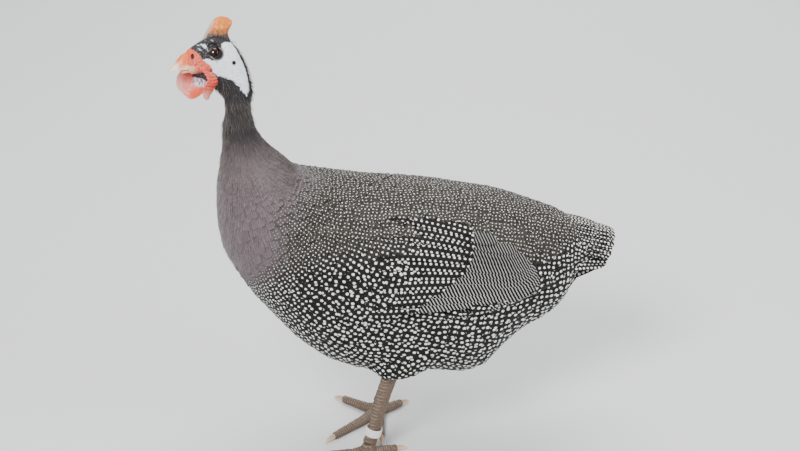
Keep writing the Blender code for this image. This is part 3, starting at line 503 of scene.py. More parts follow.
def unit(rows):
    return rows / np.linalg.norm(rows, axis=-1)[..., None]


def vane_axes(centre, normal, side=1):
    """Unit directions along and across each vane and off it, from its midline and rough normals."""
    tangent = unit(np.gradient(centre, axis=1))
    across = unit(np.cross(tangent, normal) * side)
    return tangent, across, np.cross(across, tangent) * side


def vane_mesh(name, centre, side, normal, half, away, across, thick, root, values, camber=0.0,
              jitter=None):
    """Many closed feather vanes in one mesh.

    centre, side and normal are (feathers, stations, 3); half and away (feathers, stations) are
    the half width and the distance from the tip; across the places over the width, -1 to 1.
    """
    count, stations = half.shape
    wide = len(across)
    a = np.asarray(across)
    reach = half[:, :, None] * a[None, None, :]
    if jitter is not None:
        reach = reach * (1 + jitter * (np.abs(a) > 0.99)[None, None, :])
    arch = -camber * (a ** 2)[None, None, :] * half[:, :, None]
    deep = 0.5 * thick * (1 - 0.45 * np.abs(a))
    mid = centre[:, :, None, :] + side[:, :, None, :] * reach[..., None]
    top = mid + normal[:, :, None, :] * (arch + deep)[..., None]
    low = mid + normal[:, :, None, :] * (arch - deep)[..., None]
    points = np.stack([top, low], 1).reshape(-1, 3)
    layer = stations * wide

    def at(lay, s, k):
        return lay * layer + s * wide + k

    quads = []
    for s in range(stations - 1):
        for k in range(wide - 1):
            quads.append((at(0, s, k), at(0, s, k + 1), at(0, s + 1, k + 1), at(0, s + 1, k)))
            quads.append((at(1, s, k), at(1, s + 1, k), at(1, s + 1, k + 1), at(1, s, k + 1)))
        quads.append((at(0, s, 0), at(0, s + 1, 0), at(1, s + 1, 0), at(1, s, 0)))
        quads.append((at(0, s, wide - 1), at(1, s, wide - 1), at(1, s + 1, wide - 1),
                      at(0, s + 1, wide - 1)))
    for k in range(wide - 1):
        quads.append((at(0, 0, k), at(1, 0, k), at(1, 0, k + 1), at(0, 0, k + 1)))
        last = stations - 1
        quads.append((at(0, last, k), at(0, last, k + 1), at(1, last, k + 1), at(1, last, k)))
    quads = np.array(quads, np.int64)
    faces = (quads[None] + (np.arange(count) * 2 * layer)[:, None, None]).reshape(-1, 4)
    mesh = mesh_of_quads(name, points, faces)

    feather = np.stack([np.broadcast_to(reach, (count, stations, wide)),
                        np.broadcast_to(away[:, :, None], (count, stations, wide))], -1)
    feather = np.repeat(feather[:, None], 2, 1).reshape(-1, 2)
    give_uv(mesh, "feather", feather)
    patch = np.stack([np.broadcast_to((a / 2)[None, None, :], (count, stations, wide)),
                      np.broadcast_to(np.linspace(-0.5, 0.5, stations)[None, :, None],
                                      (count, stations, wide))], -1) * BAKE_PATCH
    baked = patch + unwrap(root)[:, None, None, :]
    baked = np.repeat(baked[:, None], 2, 1).reshape(-1, 2)
    give_uv(mesh, "OFBake", baked)
    for key, value in values.items():
        give_float(mesh, key, np.repeat(np.asarray(value, np.float32), 2 * layer))
    return mesh


def mesh_of_quads(name, points, faces):
    mesh = bpy.data.meshes.new(name)
    size = faces.shape[1]
    mesh.vertices.add(len(points))
    mesh.vertices.foreach_set("co", points.astype(np.float32).ravel())
    mesh.loops.add(faces.size)
    mesh.loops.foreach_set("vertex_index", faces.astype(np.int32).ravel())
    mesh.polygons.add(len(faces))
    mesh.polygons.foreach_set("loop_start", np.arange(0, faces.size, size, dtype=np.int32))
    mesh.update(calc_edges=True)
    mesh.validate()
    return mesh


def give_uv(mesh, name, per_point):
    layer = mesh.uv_layers.new(name=name)
    index = np.empty(len(mesh.loops), np.int32)
    mesh.loops.foreach_get("vertex_index", index)
    layer.data.foreach_set("uv", per_point[index].astype(np.float32).ravel())


# Lie of the coat: place and direction, for the bird's left side, mirrored to the right.
LIE = [
    ((-148, 0, 372), (0.25, 0, -1)), ((-118, 0, 335), (0.3, 0, -1)), ((-153, 0, 325), (-0.02, 0, -1)),
    ((-100, 0, 298), (0.8, 0, -0.6)), ((-128, -42, 272), (0.42, 0, -0.9)),
    ((-164, 0, 245), (0.0, 0, -1)), ((-150, -20, 190), (0.35, 0, -0.94)),
    ((-112, -20, 145), (0.75, 0, -0.66)), ((-45, -20, 88), (1, 0, -0.15)),
    ((55, -20, 76), (1, 0, 0.1)), ((130, -15, 118), (0.85, 0, 0.5)), ((165, -10, 165), (0.9, 0, 0.4)),
    ((0, -20, 272), (1, 0, -0.12)), ((130, -15, 236), (0.95, 0, -0.3)),
    ((175, -10, 212), (0.93, 0, -0.35)), ((0, -80, 185), (0.97, 0, -0.2)),
    ((-85, -75, 215), (0.78, 0, -0.62)), ((-45, -72, 125), (0.93, 0, -0.35)),
    ((60, -70, 135), (1, 0, -0.12)), ((110, -50, 160), (1, 0, 0.0)),
    ((-8, -42, 92), (0.55, 0, -0.85)), ((-60, -50, 270), (0.95, 0, -0.3)),
]


def lie_at(points, normals):
    """Unit direction of the coat at points, along the surface."""
    spots = []
    ways = []
    for (x, y, z), way in LIE:
        for side in (1, -1):
            spots.append(place(x, y * side, z))
            ways.append(Vector(way).normalized())
    spots = np.array(spots)
    ways = np.array(ways)
    gap = np.linalg.norm(points[:, None] - spots[None], axis=2)
    weight = 1 / (gap ** 2 + (8 * MM) ** 2) ** 1.5
    flow = (weight[..., None] * ways[None]).sum(1)
    flow -= normals * (flow * normals).sum(1)[:, None]
    return unit(flow)


def on_coat(points, surface="tree"):
    """Nearest points and normals of the coat's outside, or of the skin."""
    tree = SHARED[surface]
    hits = np.empty_like(points)
    normals = np.empty_like(points)
    for i, p in enumerate(points):
        co, normal, _, _ = tree.find_nearest(p)
        hits[i] = co
        normals[i] = normal
    return hits, normals


WING_HEIGHT = 190
# Further out than any point of the coat.
OUTSIDE = 0.12


def ray_on_coat(x, angle, side):
    """Point and normal of the coat at x mm, by the angle above level round a line at wing height."""
    a = math.radians(angle)
    start = place(x, 0, WING_HEIGHT)
    out = Vector((0, -side * math.cos(a), math.sin(a)))
    hit, normal, _, _ = SHARED["tree"].ray_cast(start + out * OUTSIDE, -out)
    if hit is None:
        raise RuntimeError(f"no coat at x {x}, angle {angle}")
    return hit, normal if normal.dot(out) > 0 else -normal


def wing_angle(points):
    """Angle above level of points round the line at wing height, in degrees."""
    return np.degrees(np.arctan2(points[:, 2] - WING_HEIGHT * MM, np.abs(points[:, 1])))


# Random points tried for each coat, and the least gap between those kept, as a share of spacing.
TRIES = 90000
LEAST_GAP = 0.80
# How often the points push each other apart, from how far, in spacings, and how strongly.
ROUNDS = 6
PUSH_REACH = 1.25
PUSH = 0.22


def spread(accept, spacing, seed):
    """Evenly spread points on the coat where accept says so, as far apart as spacing says."""
    rng = np.random.default_rng(seed)
    corner = SHARED["corners"]
    near = accept(corner.reshape(-1, 3)).reshape(-1, 3).any(1)
    corner = corner[near]
    area = np.linalg.norm(np.cross(corner[:, 1] - corner[:, 0], corner[:, 2] - corner[:, 0]), axis=1)
    pick = rng.choice(len(corner), TRIES, p=area / area.sum())
    a, b = rng.random((2, TRIES))
    turn = a + b > 1
    a[turn] = 1 - a[turn]
    b[turn] = 1 - b[turn]
    t = corner[pick]
    points = t[:, 0] + a[:, None] * (t[:, 1] - t[:, 0]) + b[:, None] * (t[:, 2] - t[:, 0])
    points = points[accept(points)]
    # Points too close to an earlier one are dropped; the rest then push each other apart.
    reach = spacing(points) * LEAST_GAP
    grid = {}
    chosen = []
    steps = list(itertools.product((-1, 0, 1), repeat=3))
    keys = np.floor(points / reach.max()).astype(int)
    for i, key in enumerate(map(tuple, keys)):
        p = points[i]
        around = (pair for dx, dy, dz in steps
                  for pair in grid.get((key[0] + dx, key[1] + dy, key[2] + dz), ()))
        if all((d := p - q) @ d >= (0.5 * (r + reach[i])) ** 2 for q, r in around):
            grid.setdefault(key, []).append((p, reach[i]))
            chosen.append(i)
    points = points[chosen]
    for _ in range(ROUNDS):
        gap = spacing(points) * PUSH_REACH
        tree = kdtree.KDTree(len(points))
        for i, p in enumerate(points):
            tree.insert(p, i)
        tree.balance()
        push = np.zeros_like(points)
        for i, p in enumerate(points):
            for co, j, far in tree.find_range(p, gap[i]):
                if j != i and far > 0:
                    push[i] += (p - np.array(co)) / far * (gap[i] - far)
        points, _ = on_coat(points + push * PUSH)
    return points


# Outline of a contour feather from root to tip: share of the length, share of the half width.
CONTOUR = [(0.0, 0.3), (0.3, 0.74), (0.56, 0.95), (0.76, 1.0), (0.89, 0.86), (0.965, 0.55),
           (1.0, 0.16)]
CONTOUR_ACROSS = (-1.0, -0.55, 0.0, 0.55, 1.0)
# Length and half width of a contour feather, in spacings.
CONTOUR_LENGTH = 2.7
CONTOUR_HALF = 0.80
# Height of its tip over the coat's outside, in mm.
TIP_LIFT = -0.25
# Thickness of the vanes, in mm.
THICK = {"contour": 0.16, "flight": 0.22, "tail": 0.25}


def body_feathers(name, roots, length, half, values, mat, seed):
    """Contour feathers on roots, sunk at the base, tips close under the coat's outside."""
    rng = np.random.default_rng(seed)
    count = len(roots)
    roots, normal0 = on_coat(roots)
    way = lie_at(roots, normal0)
    sway = rng.normal(0, 0.07, count)[:, None]
    way = way + np.cross(normal0, way) * sway
    length = length * rng.uniform(0.93, 1.07, count)
    mid, normal1 = on_coat(roots + way * length[:, None] * 0.5)
    tip, normal2 = on_coat(mid + (mid - roots))
    depth = bpy.context.scene.fowl_plumage.coat_depth
    heights = np.stack([np.full(count, -depth), np.full(count, -0.42 * depth),
                        TIP_LIFT * MM + rng.normal(0, 0.15 * MM, count)], 1)
    normals = np.stack([normal0, normal1, normal2], 1)
    ring = np.stack([roots, mid, tip], 1) + normals * heights[..., None]
    share, wide = np.array(CONTOUR).T
    basis = np.stack([(1 - share) * (1 - 2 * share), 4 * share * (1 - share), share * (2 * share - 1)])
    centre = np.einsum("fkc,ks->fsc", ring, basis)
    _, side, normal = vane_axes(centre, np.einsum("fkc,ks->fsc", normals, basis))
    across = half[:, None] * wide[None] * rng.uniform(0.95, 1.05, count)[:, None]
    away = length[:, None] * (1 - share)[None]
    jitter = rng.normal(0, 0.035, (count, len(share), 1))
    values = dict(values)
    values["slip"] = rng.uniform(-0.12, 0.12, count)
    values["shade"] = 1 + rng.uniform(-0.13, 0.13, count) * (1 - 0.65 * values["plain"])
    mesh = vane_mesh(name, centre, side, normal, across, away, CONTOUR_ACROSS,
                     THICK["contour"] * MM, roots, values, camber=0.10, jitter=jitter)
    return new_object(name, mesh, mat)


# The wing's feathers follow lines from its lower edge up. Tiers: name, first line, last line,
# count, root x and tip x on the first and on the last line, half width, height of the tips
# under the coat's outside, bars, spacing and size of the marks.
SECONDARY_TIPS = (122, 78)
WING_TIERS = [
    ("primaries", -0.6, 0.8, 4, (38, 34), (130, 125), 6.5, (-3.2, -1.2), 1.0, 3.4, 0.5),
    ("secondaries", -0.4, 6.9, 14, (-48, -20), SECONDARY_TIPS, 9.5, (-3.0, -0.4), 1.0, 3.15, 0.5),
    ("greater_coverts", 0.0, 7.1, 12, (-84, -24), (-30, 57), 8.8, (-2.2, 0.1), 0.0, 5.0, 0.205),
]
# How fast the tips move back from the lowest feather up: 1 for evenly.
TIP_BEND = {"greater_coverts": 3.4, "secondaries": 0.33}


def wing_edges(x):
    """Angles of the wing's lower edge and of its sixth feather line at x."""
    low = -9 + 3 * np.clip((x + 60) / 190, 0, 1)
    top = 49 - 25 * np.clip((x + 10) / 112, 0, 1) ** 1.3
    return low, top


def wing_line(line, x):
    """Angle of a feather line of the wing at x."""
    low, top = wing_edges(x)
    return low + (top - low) * line / 6


def wing_row(points):
    """The feather line of the wing that points lie on, as wing_line counts them."""
    low, top = wing_edges(points[:, 0] / MM - HIPS)
    return 6 * (wing_angle(points) - low) / (top - low)


# Outline of a flight feather, as for CONTOUR.
VANE_SHARES, VANE_WIDTHS = np.array([
    (0.0, 0.35), (0.1, 0.6), (0.25, 0.85), (0.4, 0.96), (0.55, 1.0), (0.7, 1.0), (0.82, 0.95),
    (0.9, 0.82), (0.955, 0.6), (0.985, 0.36), (1.0, 0.12)]).T
VANE_ACROSS = (-1.0, -0.6, -0.25, 0.0, 0.25, 0.6, 1.0)
WING_ROLL = 0.16


def vane_values(rng, count, pitch, pearl, bars, ground):
    """Marks and tones of flight and tail feathers, one value for each feather."""
    ones = np.ones(count)
    return {"pitch": ones * pitch * MM, "pearl": ones * pearl, "bars": ones * bars,
            "ground": ones * ground, "plain": ones * 0.0, "shade": rng.uniform(0.9, 1.08, count),
            "slip": rng.uniform(-0.3, 0.3, count)}


def wing_feathers(side, mat):
    """Flight feathers and great coverts of one wing; side is 1 for the left."""
    rng = np.random.default_rng(bpy.context.scene.fowl_plumage.seed + 40)
    made = []
    for name, first, last, count, root, tip, half, rise, bars, pitch, pearl in WING_TIERS:
        centre = []
        normal = []
        for k in range(count):
            t = k / (count - 1)
            line = first + (last - first) * t
            start = root[0] + (root[1] - root[0]) * t
            end = tip[1] - (tip[1] - tip[0]) * (1 - t) ** TIP_BEND.get(name, 1.0)
            end += rng.uniform(-1.5, 1.5)
            spots = [ray_on_coat(x, wing_line(line, x), side)
                     for x in start + (end - start) * VANE_SHARES]
            high = rise[0] + (rise[1] - rise[0]) * VANE_SHARES - 1.2 * (1 - VANE_SHARES)
            high += 0.12 * line - 1.3 * max(0.0, 1 - line)
            normal.append([n for _, n in spots])
            centre.append([p + n * up * MM for (p, n), up in zip(spots, high)])
        centre = np.array(centre)
        steps = np.linalg.norm(np.diff(centre, axis=1), axis=2)
        run = np.concatenate([np.zeros((count, 1)), np.cumsum(steps, 1)], 1)
        tangent, across, normal = vane_axes(centre, np.array(normal), side)
        tilt = unit(across + normal * WING_ROLL)
        # The bars fade from the lowest feather to the highest.
        fade = 1 + bars * np.linspace(0.3, -0.34, count)
        label = f"{name}_{'left' if side > 0 else 'right'}"
        mesh = vane_mesh(label, centre, tilt, np.cross(tilt, tangent) * side,
                         np.tile(VANE_WIDTHS * half * MM, (count, 1)), run[:, -1:] - run, VANE_ACROSS,
                         THICK["flight"] * MM, centre[:, 0],
                         vane_values(rng, count, pitch, pearl * fade, bars, 0.12), camber=0.03)
        made.append(new_object(label, mesh, mat))
    return made


# Tail tiers: name, count, root x, root z, spread of the roots; tip x, tip z, spread of the tips;
# fall of x per squared feather from the middle, fall of z per feather and per squared feather,
# half width, side the feather faces, spacing and size of the pearls.
TAIL_TIERS = [
    ("rectrices", 14, (126, 221, 24), (205, 200, 50), 0.30, 1.2, 0.20, 8.6, 1, 3.6, 0.25),
    ("inner_tail", 13, (126, 204, 30), (202.5, 195.5, 50), 0.30, 1.0, 0.18, 8.6, -1, 3.8, 0.24),
    ("lower_tail", 13, (126, 186, 32), (201, 190.5, 49), 0.30, 0.7, 0.14, 8.6, -1, 4.0, 0.25),
    ("under_tail", 13, (128, 161, 34), (199.5, 185.5, 47), 0.33, 0.1, 0.0, 8.6, -1, 4.2, 0.26),
    ("lateral_tail", 12, (122, 190, 62), (197, 186, 52), 0.2, 0.5, 0.1, 8.0, 1, 3.8, 0.26),
    ("upper_tail", 12, (118, 229, 36), (188, 208, 52), 0.6, 0.9, 0.35, 8.2, 1, 3.4, 0.24),
]


def tail_feathers(mat):
    """The layers of the short tail, fanned over and under the skin's stump."""
    rng = np.random.default_rng(bpy.context.scene.fowl_plumage.seed + 60)
    made = []
    for name, count, root, tip, fall_x, fall_z, curve_z, half, up, pitch, pearl in TAIL_TIERS:
        centre = []
        normal = []
        for k in range(count):
            off = k - (count - 1) / 2
            share = off / ((count - 1) / 2)
            level = abs(off) + (0.5 if off > 0 else 0.0)
            scale = 11 / (count - 1)
            drop = fall_z * level * scale + curve_z * (off * scale) ** 2
            start = place(root[0], root[2] / 2 * share, root[1] - drop)
            end = place(tip[0] - fall_x * (off * scale) ** 2 + rng.uniform(-1, 1), tip[2] / 2 * share,
                        tip[1] - drop)
            tent = math.radians(36 * share)
            facing = Vector((0.35, math.sin(tent), math.cos(tent))).normalized() * up
            centre.append([start.lerp(end, s) + Vector((0, 0, math.sin(math.pi * s) * 1.3 * up * MM))
                           for s in VANE_SHARES])
            normal.append([facing] * len(VANE_SHARES))
        centre = np.array(centre)
        _, side, normal = vane_axes(centre, np.array(normal))
        away = np.linalg.norm(centre - centre[:, -1:], axis=2)
        values = vane_values(rng, count, pitch, pearl, 0.0, 0.55 if up > 0 else 0.15)
        mesh = vane_mesh(name, centre, side, normal, np.tile(VANE_WIDTHS * half * MM, (count, 1)),
                         away, VANE_ACROSS, THICK["tail"] * MM, centre[:, 0], values, camber=0.05)
        made.append(new_object(name, mesh, mat))
    return made


def hairs(name, roots, ways, normals, length, radius, lift, shade, mat, seed):
    """Fine hair-like feathers as closed three-sided strands, lifted off the skin towards the tip."""
    rng = np.random.default_rng(seed)
    count = len(roots)
    length = length * rng.uniform(0.75, 1.25, count)
    side = np.cross(normals, ways)
    shares = np.array([0.0, 0.35, 0.7, 1.0])
    taper = np.array([1.0, 0.85, 0.55, 0.08])
    sway = rng.normal(0, 0.12, count)
    path = (roots[:, None] + ways[:, None] * (length[:, None] * shares)[..., None]
            + normals[:, None] * (lift[:, None] * shares ** 1.25)[..., None]
            + side[:, None] * (sway[:, None] * length[:, None] * shares ** 2)[..., None])
    path -= normals[:, None] * (0.5 * MM * (1 - shares))[None, :, None]
    angles = np.array([0, 2 * math.pi / 3, 4 * math.pi / 3])
    ring = (side[:, None, :] * np.cos(angles)[None, :, None]
            + normals[:, None, :] * np.sin(angles)[None, :, None])
    points = path[:, :, None] + ring[:, None] * (radius * taper)[None, :, None, None]
    points = points.reshape(-1, 3)
    quads = []
    for s in range(len(shares) - 1):
        for k in range(3):
            j = (k + 1) % 3
            quads.append((s * 3 + k, s * 3 + j, s * 3 + 3 + j, s * 3 + 3 + k))
    quads = np.array(quads)
    per = len(shares) * 3
    faces = (quads[None] + (np.arange(count) * per)[:, None, None]).reshape(-1, 4)
    mesh = mesh_of_quads(name, points, faces)
    bm = bmesh.new()
    bm.from_mesh(mesh)
    bmesh.ops.holes_fill(bm, edges=[e for e in bm.edges if e.is_boundary], sides=3)
    bmesh.ops.recalc_face_normals(bm, faces=bm.faces)
    bm.to_mesh(mesh)
    bm.free()
    base = unwrap(roots)
    patch = np.stack(np.meshgrid(np.linspace(-0.5, 0.5, 3), np.linspace(-0.5, 0.5, len(shares))), -1)
    baked = (base[:, None] + patch.reshape(1, -1, 2) * BAKE_PATCH).reshape(-1, 2)
    give_uv(mesh, "OFBake", baked)
    give_float(mesh, "shade", np.repeat(shade, per))
    return new_object(name, mesh, mat)


def hair_material(name, dark, pale):
    """Hair-like plumes: soft keratin threads, each one tone from root to tip."""
    mat, tree, shader = new_material(name, 0.55, 0.3)
    tone = attribute_of(tree, "shade")
    colour = mixed(tree, tone, hex_colour(dark), hex_colour(pale))
    tree.links.new(colour, shader.inputs["Base Color"])
    shader.inputs["Sheen Weight"].default_value = 0.2
    return mat


def skin_material():
    """Bird skin with a first coat of down, in the tones of the feathers over it."""
    mat, tree, shader = new_material("down_over_skin", 0.75, 0.3)
    coords = object_coords(tree)
    colour, _ = grained_paint(tree, coords, 0.7, 0.7, 0.75, 0.82)
    # Pearls of the down, as far apart as those of the coat over it, fading out on the bare head.
    cells = add_node(tree, "ShaderNodeTexVoronoi", {"feature": "F1"}, Vector=coords,
                     Scale=1 / (4.6 * MM), Randomness=0.35)
    dots = step_down(tree, cells.outputs["Distance"], 0.22, 0.3)
    dots = times(tree, dots, attribute_of(tree, "dotted"))
    colour = mixed(tree, dots, colour, hex_colour("#D8D6CF"))
    tree.links.new(colour, shader.inputs["Base Color"])
    # Wrinkles and pores of the bare face, about 0.6 mm apart.
    fine = noise(tree, coords, 0.55, 4.0, 0.65)
    pores = add_node(tree, "ShaderNodeTexVoronoi", {"feature": "SMOOTH_F1"}, Vector=coords,
                     Scale=1 / (0.9 * MM), Randomness=1.0).outputs["Distance"]
    bump(tree, shader, plus(tree, fine, times(tree, pores, 0.6)), 0.22)
    scatter(shader, 0.08, 3, 1.5, 1)
    return mat


# Middles of the near eye, the ear's opening and the nostril, seen from the side: ahead and up.
EYE_SEEN = (-2.1, -2.0)
EAR = (-17.1, -9.2)
NOSTRIL = (17.4, -5.0)
# How the bill's ridge falls, in the same terms.
CULMEN_SLOPE = (0.66, 0.75)
# White of the face, in the same terms.
FACE = [(9.6, -7.6), (5.8, -6.4), (2.4, -7.6), (-2.5, -7.6), (-6.2, -4.4), (-7.2, 0.5), (-6.2, 6.4),
        (-10.5, 7.9), (-15.8, 7.6), (-20.6, 1.9), (-24.9, -6.4), (-28.6, -13.4), (-31.2, -23),
        (-32.2, -31), (-30.2, -37.2), (-26.4, -34), (-21.8, -28.6), (-16.8, -24), (-10, -21.6),
        (-3, -20.4), (0.5, -17.6), (2.6, -13.6), (5.6, -10.6)]
# Flecks of white in front of and over the eye: ahead, up, half length, half width, slope.
FLECKS = [(7.6, 3.8, 3.4, 1.6, 0.75), (7.0, 9.6, 2.2, 0.3, 1.0), (11.6, 1.0, 2.0, 0.5, 0.7),
          (1.0, 8.9, 2.0, 0.2, 0.6), (13.0, 4.8, 2.2, 0.3, 0.5), (5.2, 0.4, 2.2, 0.35, 1.2),
          (9.8, 9.0, 2.4, 0.3, 0.9)]
# Painted shade: grey-blue strokes where the white skin creases, in the same terms.
CREASE_SHADES = [(-2.5, -9.3, 2.6, 0.45, -0.25), (-15.6, -17.0, 2.6, 0.4, 2.5),
           (-23.5, -27.5, 1.8, 0.5, 0.3), (-9.0, 3.2, 2.4, 0.35, -1.2),
           (-9.5, -13.5, 3.0, 0.3, 0.4), (-12.6, -3.5, 2.8, 0.3, 1.6),
           (-20.5, -19.5, 2.2, 0.35, -0.6)]
# Red skin at the bill's base, from the side.
CERE = [(24, 3), (19, 2.4), (14.6, -0.8), (11.4, -4.6), (8.8, -8.6), (4.6, -10.8), (1.8, -13.4),
        (2.4, -16.8), (7, -17.6), (14, -19.4), (26, -24), (30, -10)]


def signed_gap(points, outline):
    """Distance of flat points from an outline, positive inside."""
    line = np.array(outline, float)
    best = np.full(len(points), 1e9)
    inside = np.zeros(len(points), bool)
    for a, b in zip(line, np.roll(line, -1, 0)):
        d = b - a
        t = np.clip(((points - a) @ d) / (d @ d), 0, 1)
        best = np.minimum(best, np.linalg.norm(points - (a + t[:, None] * d), axis=1))
        crosses = (a[1] > points[:, 1]) != (b[1] > points[:, 1])
        with np.errstate(divide="ignore", invalid="ignore"):
            at = (b[0] - a[0]) * (points[:, 1] - a[1]) / (b[1] - a[1]) + a[0]
        inside ^= crosses & (points[:, 0] < at)
    return np.where(inside, best, -best)


def ripple(points, size):
    """Cheap smooth wobble between -1 and 1, with waves of about size mm."""
    k = 2 * math.pi / size
    x, y, z = (points * k).T
    return (np.sin(x + 1.7 * np.sin(0.7 * y + 0.4)) + np.sin(1.3 * y + 1.9 * np.sin(0.8 * z + 1.1))
            + np.sin(0.9 * z + 1.5 * np.sin(1.1 * x + 2.3))) / 3


def stroke(f, u, at_f, at_u, long, wide, slope, tear=0.0):
    """1 in the middle of a slanted oval stroke, 0 on its edge and negative outside."""
    turn = math.atan(slope)
    a = (f - at_f) * math.cos(turn) + (u - at_u) * math.sin(turn)
    b = -(f - at_f) * math.sin(turn) + (u - at_u) * math.cos(turn) + tear
    return 1 - np.sqrt((a / long) ** 2 + (b / wide) ** 2)


def face_colours(points):
    """Paint of the bare head for points of the row frame."""
    look = bpy.context.scene.fowl_head
    local = in_head(points)
    f, left, u = local.T
    flat = np.stack([f, u], 1)
    rough = ripple(local, 3.4) * 0.6 + ripple(local, 1.6) * 0.35
    grey = ramp(ripple(local, 2.2) + 0.4 * ripple(local, 1.1), 0.1, 0.9) * ramp(f, -14, 8)
    colour = toward(look.crown, "#8D8A8A", grey * 0.55)
    # The lower edge of the white is torn by the first black plumes.
    torn = ripple(local * (1, 1, 0.35), 1.5) * ramp(u, -16, -26)
    white = ramp(signed_gap(flat, FACE) + rough * 0.7 + torn * 0.9, -0.3, 0.5)
    torn = rough * 0.4 + ripple(local, 1.1) * 0.3
    for fleck in FLECKS:
        mark = ramp(stroke(f, u, *fleck) + torn, 0.0, 0.45)
        white = np.maximum(white, mark * (np.abs(left) > 3) * 0.9)
    colour = toward(colour, look.white, white)
    # Painted shade: the creases of the white skin darkened towards grey-blue.
    for crease_shade in CREASE_SHADES:
        mark = ramp(stroke(f, u, *crease_shade, tear=0.25 * rough), 0.0, 0.7)
        colour = toward(colour, "#6F7F8C", mark * white * 0.7)
    blue = ramp(ripple(local, 9) * 0.5 + 0.5, 0.45, 1.0) * white
    colour = toward(colour, "#B8CEDA", blue * 0.35)
    # Red skin with pale papillae about 1 mm apart, orange towards the bill and pale on the lip.
    flesh = toward("#D8402C", "#E98468", ramp(ripple(local, 2.6), -0.6, 0.8))
    grain = ramp(ripple(local, 1.25) + 0.5 * ripple(local[:, [2, 0, 1]], 0.9), 0.35, 0.9)
    flesh = toward(flesh, "#F3B7A2", grain * 0.65)
    flesh = toward(flesh, "#E2622F", ramp(f + 0.3 * u, 13, 20) * 0.8)
    lip = ramp(f + 0.8 * ripple(local, 3), 12, 19) * ramp(u, -12, -14.5)
    flesh = toward(flesh, "#F6D3AE", lip * 0.9)
    colour = toward(colour, flesh, ramp(signed_gap(flat, CERE) + rough * 0.8, -0.4, 0.6))
    # Lids: grey-brown skin, a pale ring and a dark rim.
    eye = np.hypot(f - EYE_SEEN[0], u - EYE_SEEN[1])
    lid = ramp(eye + 0.25 * ripple(local, 2.5), 6.4, 5.7) * (np.abs(left) > 5)
    colour = toward(colour, "#5F5456", lid * ramp(eye, 3.8, 4.6))
    colour = toward(colour, "#B9A9A8", lid * ramp(eye, 5.7, 5.3) * ramp(eye, 4.8, 5.2) * 0.55)
    colour = toward(colour, "#1A1516", lid * ramp(eye, 5.1, 4.6))
    # Painted shade: the ear's opening is painted near black and the nostril dark brown, as the skin has
    # no hole at either.
    colour = toward(colour, "#0C0B0B", ramp(np.hypot(f - EAR[0], u - EAR[1]), 2.3, 1.5))
    nostril_shade = ramp(np.hypot((f - NOSTRIL[0]) / 1.5, (u - NOSTRIL[1]) / 2.7), 1.15, 0.75)
    return toward(colour, "#4A150F", nostril_shade)

# Edge of the plain mauve breast: x in mm by the surface's angle above level, in degrees.
MAUVE_EDGE = [(25, -168), (38, -150), (45, -137), (52, -133), (60, -129), (67, -119), (71, -113),
              (76, -107), (80, -102), (90, -98)]


def coat_region(points):
    """Spacing and size of the pearls, ground and plainness of the coat at points."""
    x, _, z = (points / MM).T
    x = x - HIPS
    up = wing_angle(points)
    # The finely dotted grey of the back comes down behind the wing's coverts.
    saddle = ramp(x, 45, 80) * ramp(x, 150, 115)
    back = ramp(up, 28, 58)
    back = np.maximum(back, ramp(up + 22 * saddle, 30, 50))
    belly = ramp(up, -8, -38)
    # Behind the edge of the mauve breast the pearls start small and dense, and grow backwards.
    angles, edges = zip(*MAUVE_EDGE)
    front = x - np.interp(up, angles, edges)
    plain = ramp(front + 5 * ripple(points / MM, 40), 32, -8) * ramp(z, 204, 230)
    rump = ramp(x, 105, 150) * ramp(z, 165, 200)
    fore = ramp(front, 85, 4)
    pitch = 5.6 + 0.5 * belly - 2.2 * back - 1.6 * rump * (1 - back) - 2.3 * fore * (1 - 0.8 * back)
    size = 0.222 - 0.09 * back + 0.01 * rump - 0.02 * fore
    ground = 0.10 + 0.85 * back + (0.25 * rump + 0.5 * ramp(front, 62, 8)) * (1 - back)
    return pitch * MM, size, np.clip(ground, 0, 1), plain


# The nodes are fattened before they are fused and thinned again after it, so that edges hold.
COAT_FATTEN = 0.45


def build_coat():
    """The coat's outside, from the fused nodes of flesh and feather, and its search tree."""
    names = ["torso", "neck", "head", "thigh_left", "thigh_right", "wing_left", "wing_right", "tail"]
    bm = remeshed(names, VOXELS["coat"], 7, COAT_FATTEN)
    move_to(bm, points_of(bm) - normals_of(bm) * COAT_FATTEN * MM)
    SHARED["coat"] = bm
    SHARED["tree"] = BVHTree.FromBMesh(bm)
    tri = bm.copy()
    bmesh.ops.triangulate(tri, faces=tri.faces)
    co = points_of(tri)
    SHARED["corners"] = co[np.array([[v.index for v in f.verts] for f in tri.faces])]
    tri.free()


# Where the tail's stump starts, in mm, and how much of the tail's length it keeps.
STUMP_START = 148
STUMP_SHARE = 0.3
# Radius of the smoothed hollow round each eye, in mm.
ORBIT = 8.5


